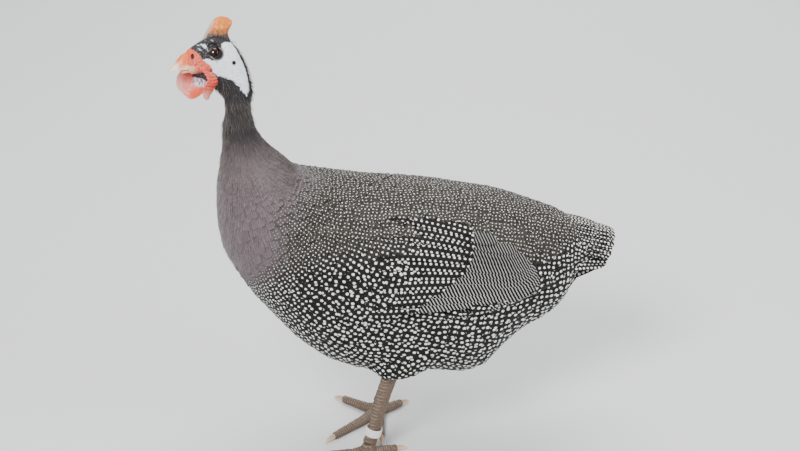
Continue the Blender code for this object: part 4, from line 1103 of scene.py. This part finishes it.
class FOWL_OT_skin(bpy.types.Operator):
    """Makes one skin for head, neck, body and thighs, inside the coat by its depth"""

    bl_idname = "fowl.skin"
    bl_label = "Skin and Bare Head"

    def execute(self, context):
        build_coat()
        look = context.scene.fowl_plumage
        body = SHARED["coat"].copy()
        points = points_of(body)
        neck = ramp(points[:, 2], 300 * MM, 262 * MM)
        sink = (0.5 + (look.coat_depth / MM - 0.5) * neck) * MM
        sink = sink + 1.4 * MM * ramp(in_head(points)[:, 2], -42, -36)
        points = points - normals_of(body) * sink[:, None]
        # The skin of the tail is a short stump inside the fan.
        stump = place(STUMP_START, 0, 0).x
        beyond = points[:, 0] > stump
        points[beyond, 0] = stump + (points[beyond, 0] - stump) * STUMP_SHARE
        move_to(body, points)
        soften(body, 2)
        head = remeshed(["head"], VOXELS["head"], 3)
        f, left, u = in_head(points_of(head)).T
        orbit = (np.hypot(f, u) < ORBIT) & (np.abs(left) > 3)
        soften(head, 14, [v for v, close in zip(head.verts, orbit) if close])
        local = in_head(points_of(head))
        f, left, u = local.T
        # Skin folds of the cheek and throat, the ragged edge of the face and the ring of the lids.
        folds = 0.16 * np.sin(u * 2.1 + 1.6 * np.sin(f * 0.35)) * ramp(u, -8, -16) * ramp(u, -38, -26)
        folds = folds + 0.12 * ripple(local, 2.6) * ramp(np.hypot(f, u), 8, 10)
        eye = np.hypot(f - EYE_SEEN[0], u - EYE_SEEN[1])
        folds = folds + 0.55 * ramp(eye, 6.0, 5.1) * ramp(eye, 3.9, 4.6) * (np.abs(left) > 4)
        inward = 1.5 * ramp(u, -32, -43)
        move_to(head, points_of(head) + normals_of(head) * ((folds - inward) * MM)[:, None])
        mesh = union("skin", to_mesh(body, "skin"), to_mesh(head, "head_skin"))
        co = points_of(mesh)
        bare = ramp(in_head(co)[:, 2], -44, -38)
        _, _, ground, plain = coat_region(co)
        upper = ramp(co[:, 2], 300 * MM, 335 * MM)
        paint = toward(look.dark, look.pale, ground * 0.8)
        paint = toward(paint, linear(look.mauve) * 0.7, plain)
        paint = toward(paint, "#2F2A2B", upper)
        give_colour(mesh, "paint", toward(paint, face_colours(co), bare))
        give_float(mesh, "dotted", (1 - plain) * (1 - bare) * (1 - upper) * 0.7)
        obj = new_object("skin", mesh, skin_material())
        bm = bmesh.new()
        bm.from_mesh(mesh)
        SHARED["skin_tree"] = BVHTree.FromBMesh(bm)
        bm.free()
        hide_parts("torso", "neck", "head", "thigh_left", "thigh_right")
        return {"FINISHED"}


def union(name, mesh, other):
    """One closed mesh from two overlapping ones."""
    a = linked(name, mesh)
    b = linked(name + "_other", other)
    mod = a.modifiers.new("union", "BOOLEAN")
    mod.operation = "UNION"
    mod.solver = "MANIFOLD"
    mod.object = b
    made = evaluated(a)
    bpy.data.objects.remove(a)
    bpy.data.objects.remove(b)
    bpy.data.meshes.remove(mesh)
    bpy.data.meshes.remove(other)
    made.name = name
    return made


# Where the coat is parted into pieces: x of the breast's end and of the rump's start, in mm, and
# the surface's angle at the back's edge.
BREAST_END = -52
RUMP_START = 96
BACK_ANGLE = 44


class FOWL_OT_plumage(bpy.types.Operator):
    """Covers the body with overlapping contour feathers along the lie of the coat"""

    bl_idname = "fowl.plumage"
    bl_label = "Body Plumage"

    def execute(self, context):
        look = context.scene.fowl_plumage
        mat = pearl_feather_material()
        SHARED["feather"] = mat

        def accept(points):
            x = points[:, 0] / MM - HIPS
            line = wing_row(points)
            share = np.clip((line + 0.4) / 7.6, 0, 1)
            lowest, highest = SECONDARY_TIPS
            tip = highest + (lowest - highest) * (1 - share) ** TIP_BEND["secondaries"]
            start = 5 - 34 * (1 - share) ** 2
            low = -0.5 + 0.8 * ramp(x, 70, 112)
            panel = (x > start) & (x < tip - 5) & (line > low) & (line < 6.7)
            return ~panel & (points[:, 2] < 318 * MM) & (x < 170)

        def spacing(points):
            neck = ramp(points[:, 2] / MM, 262, 300)
            back = ramp(wing_angle(points), 28, 58)
            return look.spacing * (1 - 0.46 * neck - 0.12 * back)

        roots = spread(accept, spacing, look.seed)
        pitch, size, ground, plain = coat_region(roots)
        gap = spacing(roots)
        x = roots[:, 0] / MM - HIPS
        flank = np.where(roots[:, 1] < 0, 1, 2)
        coat = np.where(wing_angle(roots) > BACK_ANGLE, 3, flank)
        coat = np.where(x < BREAST_END, 0, np.where(x > RUMP_START, 4, coat))
        for index, name in enumerate(("breast", "flank_left", "flank_right", "back", "rump")):
            pick = coat == index
            values = {"pitch": pitch[pick], "pearl": size[pick], "bars": np.zeros(pick.sum()),
                      "ground": ground[pick], "plain": plain[pick]}
            body_feathers("coat_" + name, roots[pick], gap[pick] * CONTOUR_LENGTH,
                          gap[pick] * CONTOUR_HALF, values, mat, look.seed + index)
        return {"FINISHED"}


class FOWL_OT_wings(bpy.types.Operator):
    """Lays the barred flight feathers and the pearled great coverts of both closed wings"""

    bl_idname = "fowl.wings"
    bl_label = "Wings"

    def execute(self, context):
        for side, node in ((1, "wing_left"), (-1, "wing_right")):
            made = wing_feathers(side, SHARED["feather"])
            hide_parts(node)
        return {"FINISHED"}


class FOWL_OT_tail(bpy.types.Operator):
    """Fans the short tail with its upper and under coverts"""

    bl_idname = "fowl.tail"
    bl_label = "Tail"

    def execute(self, context):
        made = tail_feathers(SHARED["feather"])
        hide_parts("tail")
        return {"FINISHED"}


# The most hairs of one piece.
HAIRS_IN_PIECE = 9500


class FOWL_OT_neck(bpy.types.Operator):
    """Sets the hair-like plumes of the neck and the black bristles of the nape"""

    bl_idname = "fowl.neck"
    bl_label = "Neck Plumes"

    def execute(self, context):
        look = context.scene.fowl_plumage
        seed = look.seed + 80

        def bare(points):
            local = in_head(points)
            return (signed_gap(local[:, [0, 2]], FACE) > -0.7) & (local[:, 2] > -40)

        def on_neck(points):
            local = in_head(points)
            low = -21 - 0.5 * np.clip(local[:, 0] + 4, 0, 20)
            return (points[:, 2] > 262 * MM) & (local[:, 2] < low) & ~bare(points)

        def on_nape(points):
            local = in_head(points)
            behind = local[:, 0] < -13.5 - 0.45 * (11 - local[:, 2])
            return (np.abs(local[:, 1]) < 6) & behind & (local[:, 2] > -46) & (local[:, 2] < 13) & \
                ~bare(points)

        def on_breast(points):
            torn = 0.2 * ripple(points / MM, 9)
            return (coat_region(points)[3] + torn > 0.6) & (points[:, 2] < 300 * MM)

        neck = hair_material("neck_plume_keratin", "#1C1919", "#94897F")
        black = hair_material("nape_bristle_keratin", "#0B0B0C", "#2A282A")
        velvet = hair_material("breast_barb_keratin", "#5A5054", "#A39599")
        # Name, place, spacing, length and radius in mm, material, rise of the tips in mm.
        for name, accept, gap, length, radius, mat, lean in (
                ("neck_plumes", on_neck, 1.6, 10.0, 0.17, neck, (0.5, 1.4)),
                ("nape_bristles", on_nape, 0.85, 6.5, 0.12, black, (0.8, 2.6)),
                ("breast_barbs", on_breast, 1.9, 8.5, 0.13, velvet, (0.2, 0.7))):
            roots = spread(accept, lambda points: np.full(len(points), gap * MM), seed)
            surface = "tree" if name == "breast_barbs" else "skin_tree"
            roots, normals = on_coat(roots, surface)
            if surface == "skin_tree":
                roots = roots[~bare(roots)]
                roots, normals = on_coat(roots, surface)
            ways = lie_at(roots, normals)
            rng = np.random.default_rng(seed + 1)
            count = len(roots)
            high = ramp(in_head(roots)[:, 2], -44, -24)
            long = length * (1 - 0.5 * high) if name == "neck_plumes" else np.full(count, length)
            paler = 0.25 * ramp(roots[:, 2], 345 * MM, 285 * MM)
            shade = np.clip(rng.normal(0.35, 0.25, count) + paler, 0, 1)
            rise = rng.uniform(*lean, count) * MM
            groups = np.array_split(np.argsort(roots[:, 1], kind="stable"), count // HAIRS_IN_PIECE + 1)
            for k, pick in enumerate(groups):
                label = name if len(groups) == 1 else f"{name}_{k + 1}"
                obj = hairs(label, roots[pick], ways[pick], normals[pick], long[pick] * MM,
                            radius * MM, rise[pick], shade[pick], mat, seed + 2 + k)
            seed += 10
        return {"FINISHED"}


# How near the skin the rim of a piece is sunk, and how deep, in mm.
SEAT_REACH = 0.9
SEAT_DEPTH = 0.8


def seat(bm):
    """Sinks the rim of a piece that stands on the skin, so that no gap shows under it."""
    tree = SHARED["skin_tree"]
    moves = []
    for v in bm.verts:
        co, _, _, far = tree.find_nearest(v.co)
        if 0 < far < SEAT_REACH * MM:
            moves.append((v, v.co + (co - v.co).normalized() * SEAT_DEPTH * MM))
    set_places(moves)
    bm.normal_update()


def casque_paint(local):
    """Orange horn with a dark foot, brown blotches and a pale front edge."""
    f, left, u = local.T
    height = ramp(u + 1.8 * ripple(local, 4.3) + 0.8 * ripple(local, 1.9), 12.8, 20.5)
    paint = toward("#3A2F2A", "#E07A1C", height)
    glow = ramp(ripple(local, 5.3) + 0.5 * ripple(local, 2.3), 0.0, 1.0) * height
    paint = toward(paint, "#F6AE48", glow * 0.8)
    brown = ramp(ripple(local, 3.9) + 0.4 * ripple(local, 1.4), 0.1, 0.9)
    paint = toward(paint, "#93421F", brown * ramp(u, 27, 18) * ramp(u, 13, 17) * 0.7)
    rim = ramp(u, 26.5, 28.6) * ramp(ripple(local, 2.8), -0.4, 0.6)
    paint = toward(paint, "#B5532C", rim * 0.8)
    # Upright streaks at the base, and the pale, bare front edge.
    streak = ramp(np.sin(left * 2.9 + f * 2.1 + 0.8 * ripple(local, 3.0)), 0.1, 1.0)
    paint = toward(paint, "#A6937F", streak * ramp(u, 18, 12) * 0.16)
    ragged = ripple(local, 2.2) + 0.5 * ripple(local, 1.2)
    edge = ramp(f - (5.6 - 0.54 * (u - 12.6)) + 0.4 * ragged, -1.9, -0.5)
    return toward(paint, "#C9B0A4", edge * ramp(u, 27, 24) * 0.8)


def bill_paint(local, lower):
    """Horn that pales down from the ridge, with an ivory tip and a red base."""
    f, _, u = local.T
    down = CULMEN_SLOPE[0] * (f - 20) + CULMEN_SLOPE[1] * (u - 0.2) + 0.5 * ripple(local, 3)
    paint = toward("#EC7A3C", "#F6D3AE", ramp(down, -4.5, -10.5))
    tip = ramp(f - 0.55 * (u + 12) + 0.5 * ripple(local, 2.4), 26.5, 33)
    paint = toward(paint, "#F4E6C2", tip)
    if lower:
        paint = toward(paint, "#E79A7C", 0.75)
    base = ramp(f + 0.6 * ripple(local, 2.5), 26, 22.6) * ramp(u, -14.5, -11)
    return toward(paint, "#E2622F", base * 0.8)


def shape_bill(local, lower):
    """The base drawn back into the red skin; a hooked upper tip, a short and flat lower bill."""
    f, left, u = local.T
    f = f - 1.3 * ramp(f, 25, 23.2)
    if lower:
        f = np.minimum(f, 21 + (f - 21) * 0.4)
        u = u.max() + (u - u.max()) * 0.55
    else:
        hook = ramp(f, 26, 36) ** 2
        f = f + 2.0 * hook
        u = u - 1.5 * hook
    return np.stack([f, left, u], 1)


class FOWL_OT_horn(bpy.types.Operator):
    """Makes casque, bill and claws of horn"""

    bl_idname = "fowl.horn"
    bl_label = "Casque, Bill and Claws"

    def execute(self, context):
        bm = remeshed(["casque"], VOXELS["casque"], 4)
        seat(bm)
        co = points_of(bm)
        local = in_head(co)
        dents = 0.22 * ripple(local, 5.5) + 0.10 * ripple(local, 2.1)
        move_to(bm, co + normals_of(bm) * (dents * MM)[:, None])
        mesh = to_mesh(bm, "casque")
        give_colour(mesh, "paint", casque_paint(in_head(points_of(mesh))))
        obj = new_object("casque_horn", mesh, horn_material("casque_keratin", 0.5, 0.16, 1.2))
        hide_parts("casque")
        horn = horn_material("bill_keratin", 0.38, 0.05, 0.8)
        for node in ("bill_upper", "bill_lower"):
            lower = node == "bill_lower"
            bm = remeshed([node], VOXELS["bill"], 3)
            move_to(bm, out_of_head(shape_bill(in_head(points_of(bm)), lower)))
            mesh = to_mesh(bm, node)
            give_colour(mesh, "paint", bill_paint(in_head(points_of(mesh)), lower))
            obj = new_object(node + "_horn", mesh, horn)
            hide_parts(node)
        claw = horn_material("claw_keratin", 0.42, 0.05, 0.7)
        for node in sorted(frame["nodes"]):
            if not node.startswith("claw_"):
                continue
            bm = remeshed([node], VOXELS["claw"], 2)
            co = points_of(bm)
            thick = 0.45 * ramp(co[:, 2], 0.3 * MM, 2.2 * MM) * MM
            move_to(bm, co + normals_of(bm) * thick[:, None])
            mesh = to_mesh(bm, node)
            low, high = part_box(node)
            rise = ramp(points_of(mesh)[:, 2], low.z, high.z)
            give_colour(mesh, "paint", toward("#F0DFC8", "#C99F86", rise))
            obj = new_object(node + "_horn", mesh, claw)
            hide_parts(node)
        return {"FINISHED"}


def horn_material(name, roughness, depth, grain_mm):
    """Horn: keratin with fine growth grain, a little translucent."""
    mat, tree, shader = new_material(name, roughness, 0.5)
    colour, grain = grained_paint(tree, object_coords(tree), grain_mm, 0.65, 0.7, 0.84)
    tree.links.new(colour, shader.inputs["Base Color"])
    bump(tree, shader, grain, depth)
    scatter(shader, 0.06, 2, 1, 0.5)
    return mat


# Middle of the far wattle's disc, seen from the side in the head's axes: ahead and up.
DISC = (11.8, -28.4)


def shape_wattle(node, local):
    """Fuller forms of the soft wattles: the near one bows back, the far one is a broad dish."""
    local = local.copy()
    if node == "wattle_left":
        bow = np.exp(-((local[:, 2] + 23) / 8.0) ** 2)
        local[:, 0] -= 5.4 * bow
        local[:, 1] += 1.2 * bow
    else:
        local[:, 2] = DISC[1] + (local[:, 2] + 30.5) * 1.14
        taper = 1 - 0.3 * ramp(DISC[1] - local[:, 2], 1, 13)
        local[:, 0] = DISC[0] + (local[:, 0] - 13.0) * 1.2 * taper
    return local


def wattle_folds(f, u):
    """Height of the near wattle's folds, -1 to 1."""
    return np.sin(u * 2.4 + 0.9 * np.sin(f * 0.5))


class FOWL_OT_wattles(bpy.types.Operator):
    """Makes the two folded wattles at the gape"""

    bl_idname = "fowl.wattles"
    bl_label = "Wattles"

    def execute(self, context):
        mat = wattle_material()
        for node in ("wattle_left", "wattle_right"):
            near = node == "wattle_left"
            bm = remeshed([node], VOXELS["wattle"], 3)
            seat(bm)
            local = shape_wattle(node, in_head(points_of(bm)))
            move_to(bm, out_of_head(local))
            folds = 0.2 * wattle_folds(local[:, 0], local[:, 2]) * ramp(local[:, 2], -37, -30)
            folds = folds * (1.0 if near else 0.35) + 0.14 * ripple(local, 2.3)
            move_to(bm, points_of(bm) + normals_of(bm) * (folds * MM)[:, None])
            mesh = to_mesh(bm, node)
            local = in_head(points_of(mesh))
            f, _, u = local.T
            light = ramp(ripple(local, 3.6) + 0.4 * ripple(local, 1.7), -0.2, 1.0)
            paint = toward(context.scene.fowl_head.red, "#F58A6A", light * 0.55)
            if near:
                # Painted shade: the near wattle is darkened in the hollows of its folds.
                paint = toward(paint, "#A51F14", ramp(wattle_folds(f, u), -0.2, -0.95) * 0.7)
                paint = toward(paint, "#F7B79C", ramp(u, -30, -39) * 0.75)
            else:
                paint = dish_paint(local, paint)
            give_colour(mesh, "paint", paint)
            obj = new_object(node + "_skin", mesh, mat)
            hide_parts(node)
        return {"FINISHED"}


def dish_paint(local, paint):
    """Pink far wattle: pale front rim, lilac hollow, orange foot and painted shade, near black, at its
    root by the gape.
    """
    f, _, u = local.T
    wave = ripple(local, 4.6)
    df = f - DISC[0]
    du = u - DISC[1]
    pale = ramp(df - 0.35 * du + 1.5 * wave, 1, 9)
    paint = toward(paint, "#F4BDB2", pale * 0.8)
    paint = toward(paint, "#E98775", ramp(np.hypot(df, du) + wave, 10, 5) * 0.7)
    foot = ramp(-du - 0.35 * df + 1.2 * wave, 4.5, 8)
    paint = toward(paint, "#F0663C", foot * 0.75)
    hollow = ramp(np.hypot(df + 5.6, du - 2.8) + 0.9 * ripple(local, 2.6), 6.2, 3.6)
    paint = toward(paint, "#F1E6F2", hollow * 0.95)
    streak = ramp(ripple(local * (1.5, 1, 0.7) + 1.3, 4.2) + 0.4 * ripple(local, 1.5), 0.1, 0.7)
    paint = toward(paint, "#4B2E50", streak * hollow * 0.85)
    # Painted shade: near black between the wattles under the bill, where the chin lies in shade.
    gap = ramp(np.hypot((df + 5.2) / 1.6, du - 8.6) + 0.5 * wave, 4.4, 2.8)
    return toward(paint, "#1D0F12", gap * 0.95)


def wattle_material():
    """Wattle: thick wet-looking skin full of blood, finely folded."""
    mat, tree, shader = new_material("wattle_flesh", 0.36, 0.5)
    colour, grain = grained_paint(tree, object_coords(tree), 0.8, 0.7, 0.7, 0.86)
    tree.links.new(colour, shader.inputs["Base Color"])
    bump(tree, shader, grain, 0.16)
    scatter(shader, 0.15, 4, 1, 0.6)
    return mat


# Ball of the eye, in mm: its radius, how flat it is along its axis, and how far its middle lies
# under the skin. It stands about 1.5 mm out of the lids.
EYE_RADIUS = 5.8
EYE_FLAT = 0.78
EYE_DEPTH = 3.0


class FOWL_OT_eyes(bpy.types.Operator):
    """Makes the glossy dark-brown eyes"""

    bl_idname = "fowl.eyes"
    bl_label = "Eyes"

    def execute(self, context):
        mat, tree, shader = new_material("wet_eye", 0.05, 0.5)
        ring = attribute_of(tree, "ring")
        iris = mixed(tree, noise(tree, object_coords(tree), 0.5, 3.0), hex_colour("#1A0B07"),
                     hex_colour("#3B1D12"))
        colour = mixed(tree, step_down(tree, ring, 0.44, 0.5), iris, hex_colour("#050404"))
        colour = mixed(tree, step_down(tree, ring, 1.0, 1.1), hex_colour("#3A2A26"), colour)
        tree.links.new(colour, shader.inputs["Base Color"])
        shader.inputs["Coat Weight"].default_value = 0.35
        shader.inputs["Coat Roughness"].default_value = 0.02
        reach = context.scene.fowl_head.iris
        for side, node in ((1, "eye_left"), (-1, "eye_right")):
            start = out_of_head(np.array([EYE_SEEN[0], 30.0 * side, EYE_SEEN[1]]))
            inward = HEAD_M.to_3x3() @ Vector((0, -side, 0))
            hit, _, _, _ = SHARED["skin_tree"].ray_cast(start, inward)
            centre = hit + inward * EYE_DEPTH * MM
            bm = bmesh.new()
            bmesh.ops.create_uvsphere(bm, u_segments=48, v_segments=32, radius=EYE_RADIUS * MM)
            turn = HEAD_M.to_3x3() @ Matrix.Rotation(math.radians(-90 * side), 3, "X")
            shape = Matrix.Translation(centre) @ turn.to_4x4() @ Matrix.Diagonal((1, 1, EYE_FLAT, 1))
            bmesh.ops.transform(bm, matrix=shape, verts=bm.verts)
            mesh = to_mesh(bm, node)
            f, _, u = (in_head(points_of(mesh)) - in_head(np.array(centre))).T
            give_float(mesh, "ring", np.hypot(f, u) * MM / reach)
            obj = new_object(node + "_ball", mesh, mat)
            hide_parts(node)
        return {"FINISHED"}


# Middles of the feet, x and y, in mm.
HEEL = {"left": (-34, -32), "right": (-11, 34)}


def leg_plates(points, normals, side):
    """Bulge of each horny plate, 0 to 1, and darkness of the joints between plates."""
    flat = points[:, :2]
    lines = []
    middle = place(*(HEEL[side]), 0)
    for toe in ("inner", "middle", "outer", "hind"):
        low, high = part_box(f"claw_{toe}_{side}")
        claw = (low + high) / 2
        lines.append((np.array(middle)[:2], np.array(claw)[:2]))
    best = np.full(len(points), 1e9)
    run = np.zeros(len(points))
    for a, b in lines:
        d = b - a
        length = np.linalg.norm(d)
        t = np.clip(((flat - a) @ d) / length ** 2, 0, 1)
        gap = np.linalg.norm(flat - a - t[:, None] * d, axis=1)
        closer = gap < best
        best[closer] = gap[closer]
        run[closer] = (t * length)[closer]
    on_shank = ramp(points[:, 2], 13 * MM, 18 * MM)
    step = np.where(on_shank > 0.5, points[:, 2] / (3.4 * MM), run / (2.5 * MM))
    phase = np.abs(np.sin(math.pi * step))
    over = np.where(on_shank > 0.5, ramp(-normals[:, 0], -0.2, 0.5), ramp(normals[:, 2], -0.1, 0.4))
    return np.sqrt(phase) * over, ramp(phase, 0.36, 0.05) * over


class FOWL_OT_legs(bpy.types.Operator):
    """Makes the scaly shanks and feet and the white leg ring"""

    bl_idname = "fowl.legs"
    bl_label = "Legs and Ring"

    def execute(self, context):
        mat = scale_material()
        for side in ("left", "right"):
            for node in ("shank_" + side, "foot_" + side):
                bm = remeshed([node], VOXELS["leg"], 2)
                co = points_of(bm)
                normals = normals_of(bm)
                plate, joint = leg_plates(co, normals, side)
                bumps = (0.30 * plate + 0.08 * ripple(co / MM, 1.7)) * ramp(co[:, 2], 0.4 * MM, 1.6 * MM)
                move_to(bm, co + normals * (bumps * MM)[:, None])
                mesh = to_mesh(bm, node)
                give_float(mesh, "joint", joint)
                obj = new_object(node + "_scales", mesh, mat)
                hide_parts(node)
        plastic, tree, shader = new_material("ring_polyethylene", 0.35, 0.5)
        haze = noise(tree, object_coords(tree), 3.0, 2.0)
        tree.links.new(mixed(tree, haze, hex_colour("#F2F3F1"), hex_colour("#E2E4E2")),
                       shader.inputs["Base Color"])
        bm = remeshed(["leg_ring"], VOXELS["ring"], 2)
        obj = new_object("leg_ring_band", to_mesh(bm, "leg_ring_band"), plastic)
        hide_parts("leg_ring")
        return {"FINISHED"}


def scale_material():
    """Leg scales: horny plates with dark, dusty joints."""
    mat, tree, shader = new_material("leg_scale_keratin", 0.5, 0.4)
    coords = object_coords(tree)
    cells = add_node(tree, "ShaderNodeTexVoronoi", {"feature": "DISTANCE_TO_EDGE"}, Vector=coords,
                     Scale=1 / (1.9 * MM), Randomness=0.75).outputs["Distance"]
    joint = step_down(tree, cells, 0.02, 0.14)
    tone = noise(tree, coords, 6.0, 4.0)
    colour = mixed(tree, tone, hex_colour("#4B3A2F"), hex_colour("#87725F"))
    colour = mixed(tree, times(tree, joint, 0.45), colour, hex_colour("#3A2D27"))
    colour = mixed(tree, times(tree, attribute_of(tree, "joint"), 0.45), colour,
                   hex_colour("#D2C2B2"))
    tree.links.new(colour, shader.inputs["Base Color"])
    height = map_range(tree, cells, 0.0, 0.25)
    bump(tree, shader, height, 0.25)
    return mat


# Lamps: name, place, size and share of the key light's power.
LAMPS = [("key", (-0.9, -1.3, 1.7), 0.8, 1.0), ("fill", (1.5, -1.0, 1.0), 1.6, 0.35),
         ("top", (0.2, 0.6, 2.0), 1.5, 0.7), ("back", (0.6, 1.8, 0.9), 1.4, 0.25)]
LAMPS_AIM = Vector((0, 0, 0.2))
# Half the floor's side, and how far it lies under the feet.
FLOOR_HALF = 8.0
FLOOR_GAP = 0.0002
CAMERA_AIM = place(3.0, 0, 225)


class FOWL_OT_stage(bpy.types.Operator):
    """Sets a pale floor, soft lamps and the camera"""

    bl_idname = "fowl.stage"
    bl_label = "Studio"

    def execute(self, context):
        look = context.scene.fowl_stage
        bm = bmesh.new()
        bmesh.ops.create_grid(bm, x_segments=4, y_segments=4, size=FLOOR_HALF)
        mesh = to_mesh(bm, "floor")
        mat, _, shader = new_material("matt_paint", 0.8, 0.2)
        shader.inputs["Base Color"].default_value = hex_colour("#E4E5E6")
        floor = linked("floor", mesh)
        mesh.materials.append(mat)
        floor.location.z = -FLOOR_GAP

        back = Vector((math.sin(look.azimuth) * math.cos(look.elevation),
                       -math.cos(look.azimuth) * math.cos(look.elevation), math.sin(look.elevation)))
        data = bpy.data.cameras.new("camera")
        data.lens = look.lens
        data.sensor_width = 36.0
        camera = linked("camera", data)
        camera.rotation_mode = "QUATERNION"
        camera.location = CAMERA_AIM + back * look.distance
        camera.rotation_quaternion = (-back).to_track_quat("-Z", "Y")
        context.scene.camera = camera

        for name, at, size, share in LAMPS:
            lamp = bpy.data.lights.new(name, "AREA")
            lamp.shape = "DISK"
            lamp.size = size
            lamp.energy = look.light * share
            obj = linked(name, lamp)
            obj.location = at
            obj.rotation_mode = "QUATERNION"
            obj.rotation_quaternion = (LAMPS_AIM - Vector(at)).to_track_quat("-Z", "Y")
        world = bpy.data.worlds.new("studio")
        world.use_nodes = True
        background = world.node_tree.nodes["Background"]
        background.inputs["Color"].default_value = hex_colour("#EEF1F5")
        background.inputs["Strength"].default_value = 0.42
        context.scene.world = world
        return {"FINISHED"}


class FOWL_PT_panel(bpy.types.Panel):
    """Shows the settings of the guinea fowl and the buttons that build its pieces"""

    bl_idname = "FOWL_PT_panel"
    bl_label = "Guinea Fowl"
    bl_space_type = "VIEW_3D"
    bl_region_type = "UI"
    bl_category = "Guinea Fowl"

    def draw(self, context):
        for group in (context.scene.fowl_plumage, context.scene.fowl_head, context.scene.fowl_stage):
            box = self.layout.box()
            for key in group.__annotations__:
                box.prop(group, key)
        for operator in OPERATORS:
            self.layout.operator(operator.bl_idname)


OPERATORS = (FOWL_OT_skin, FOWL_OT_plumage, FOWL_OT_wings, FOWL_OT_tail, FOWL_OT_neck, FOWL_OT_horn,
             FOWL_OT_wattles, FOWL_OT_eyes, FOWL_OT_legs, FOWL_OT_stage)
SETTINGS = {"fowl_plumage": FowlPlumage, "fowl_head": FowlHead, "fowl_stage": FowlStage}


def register():
    for item in (*SETTINGS.values(), *OPERATORS, FOWL_PT_panel):
        bpy.utils.register_class(item)
    for name, group in SETTINGS.items():
        setattr(bpy.types.Scene, name, bpy.props.PointerProperty(type=group))


def unregister():
    for name in SETTINGS:
        delattr(bpy.types.Scene, name)
    for item in reversed((*SETTINGS.values(), *OPERATORS, FOWL_PT_panel)):
        bpy.utils.unregister_class(item)


def main():
    register()
    bpy.ops.fowl.skin()
    bpy.ops.fowl.plumage()
    bpy.ops.fowl.wings()
    bpy.ops.fowl.tail()
    bpy.ops.fowl.neck()
    bpy.ops.fowl.horn()
    bpy.ops.fowl.wattles()
    bpy.ops.fowl.eyes()
    bpy.ops.fowl.legs()
    bpy.ops.fowl.stage()


if __name__ == "__main__":
    main()
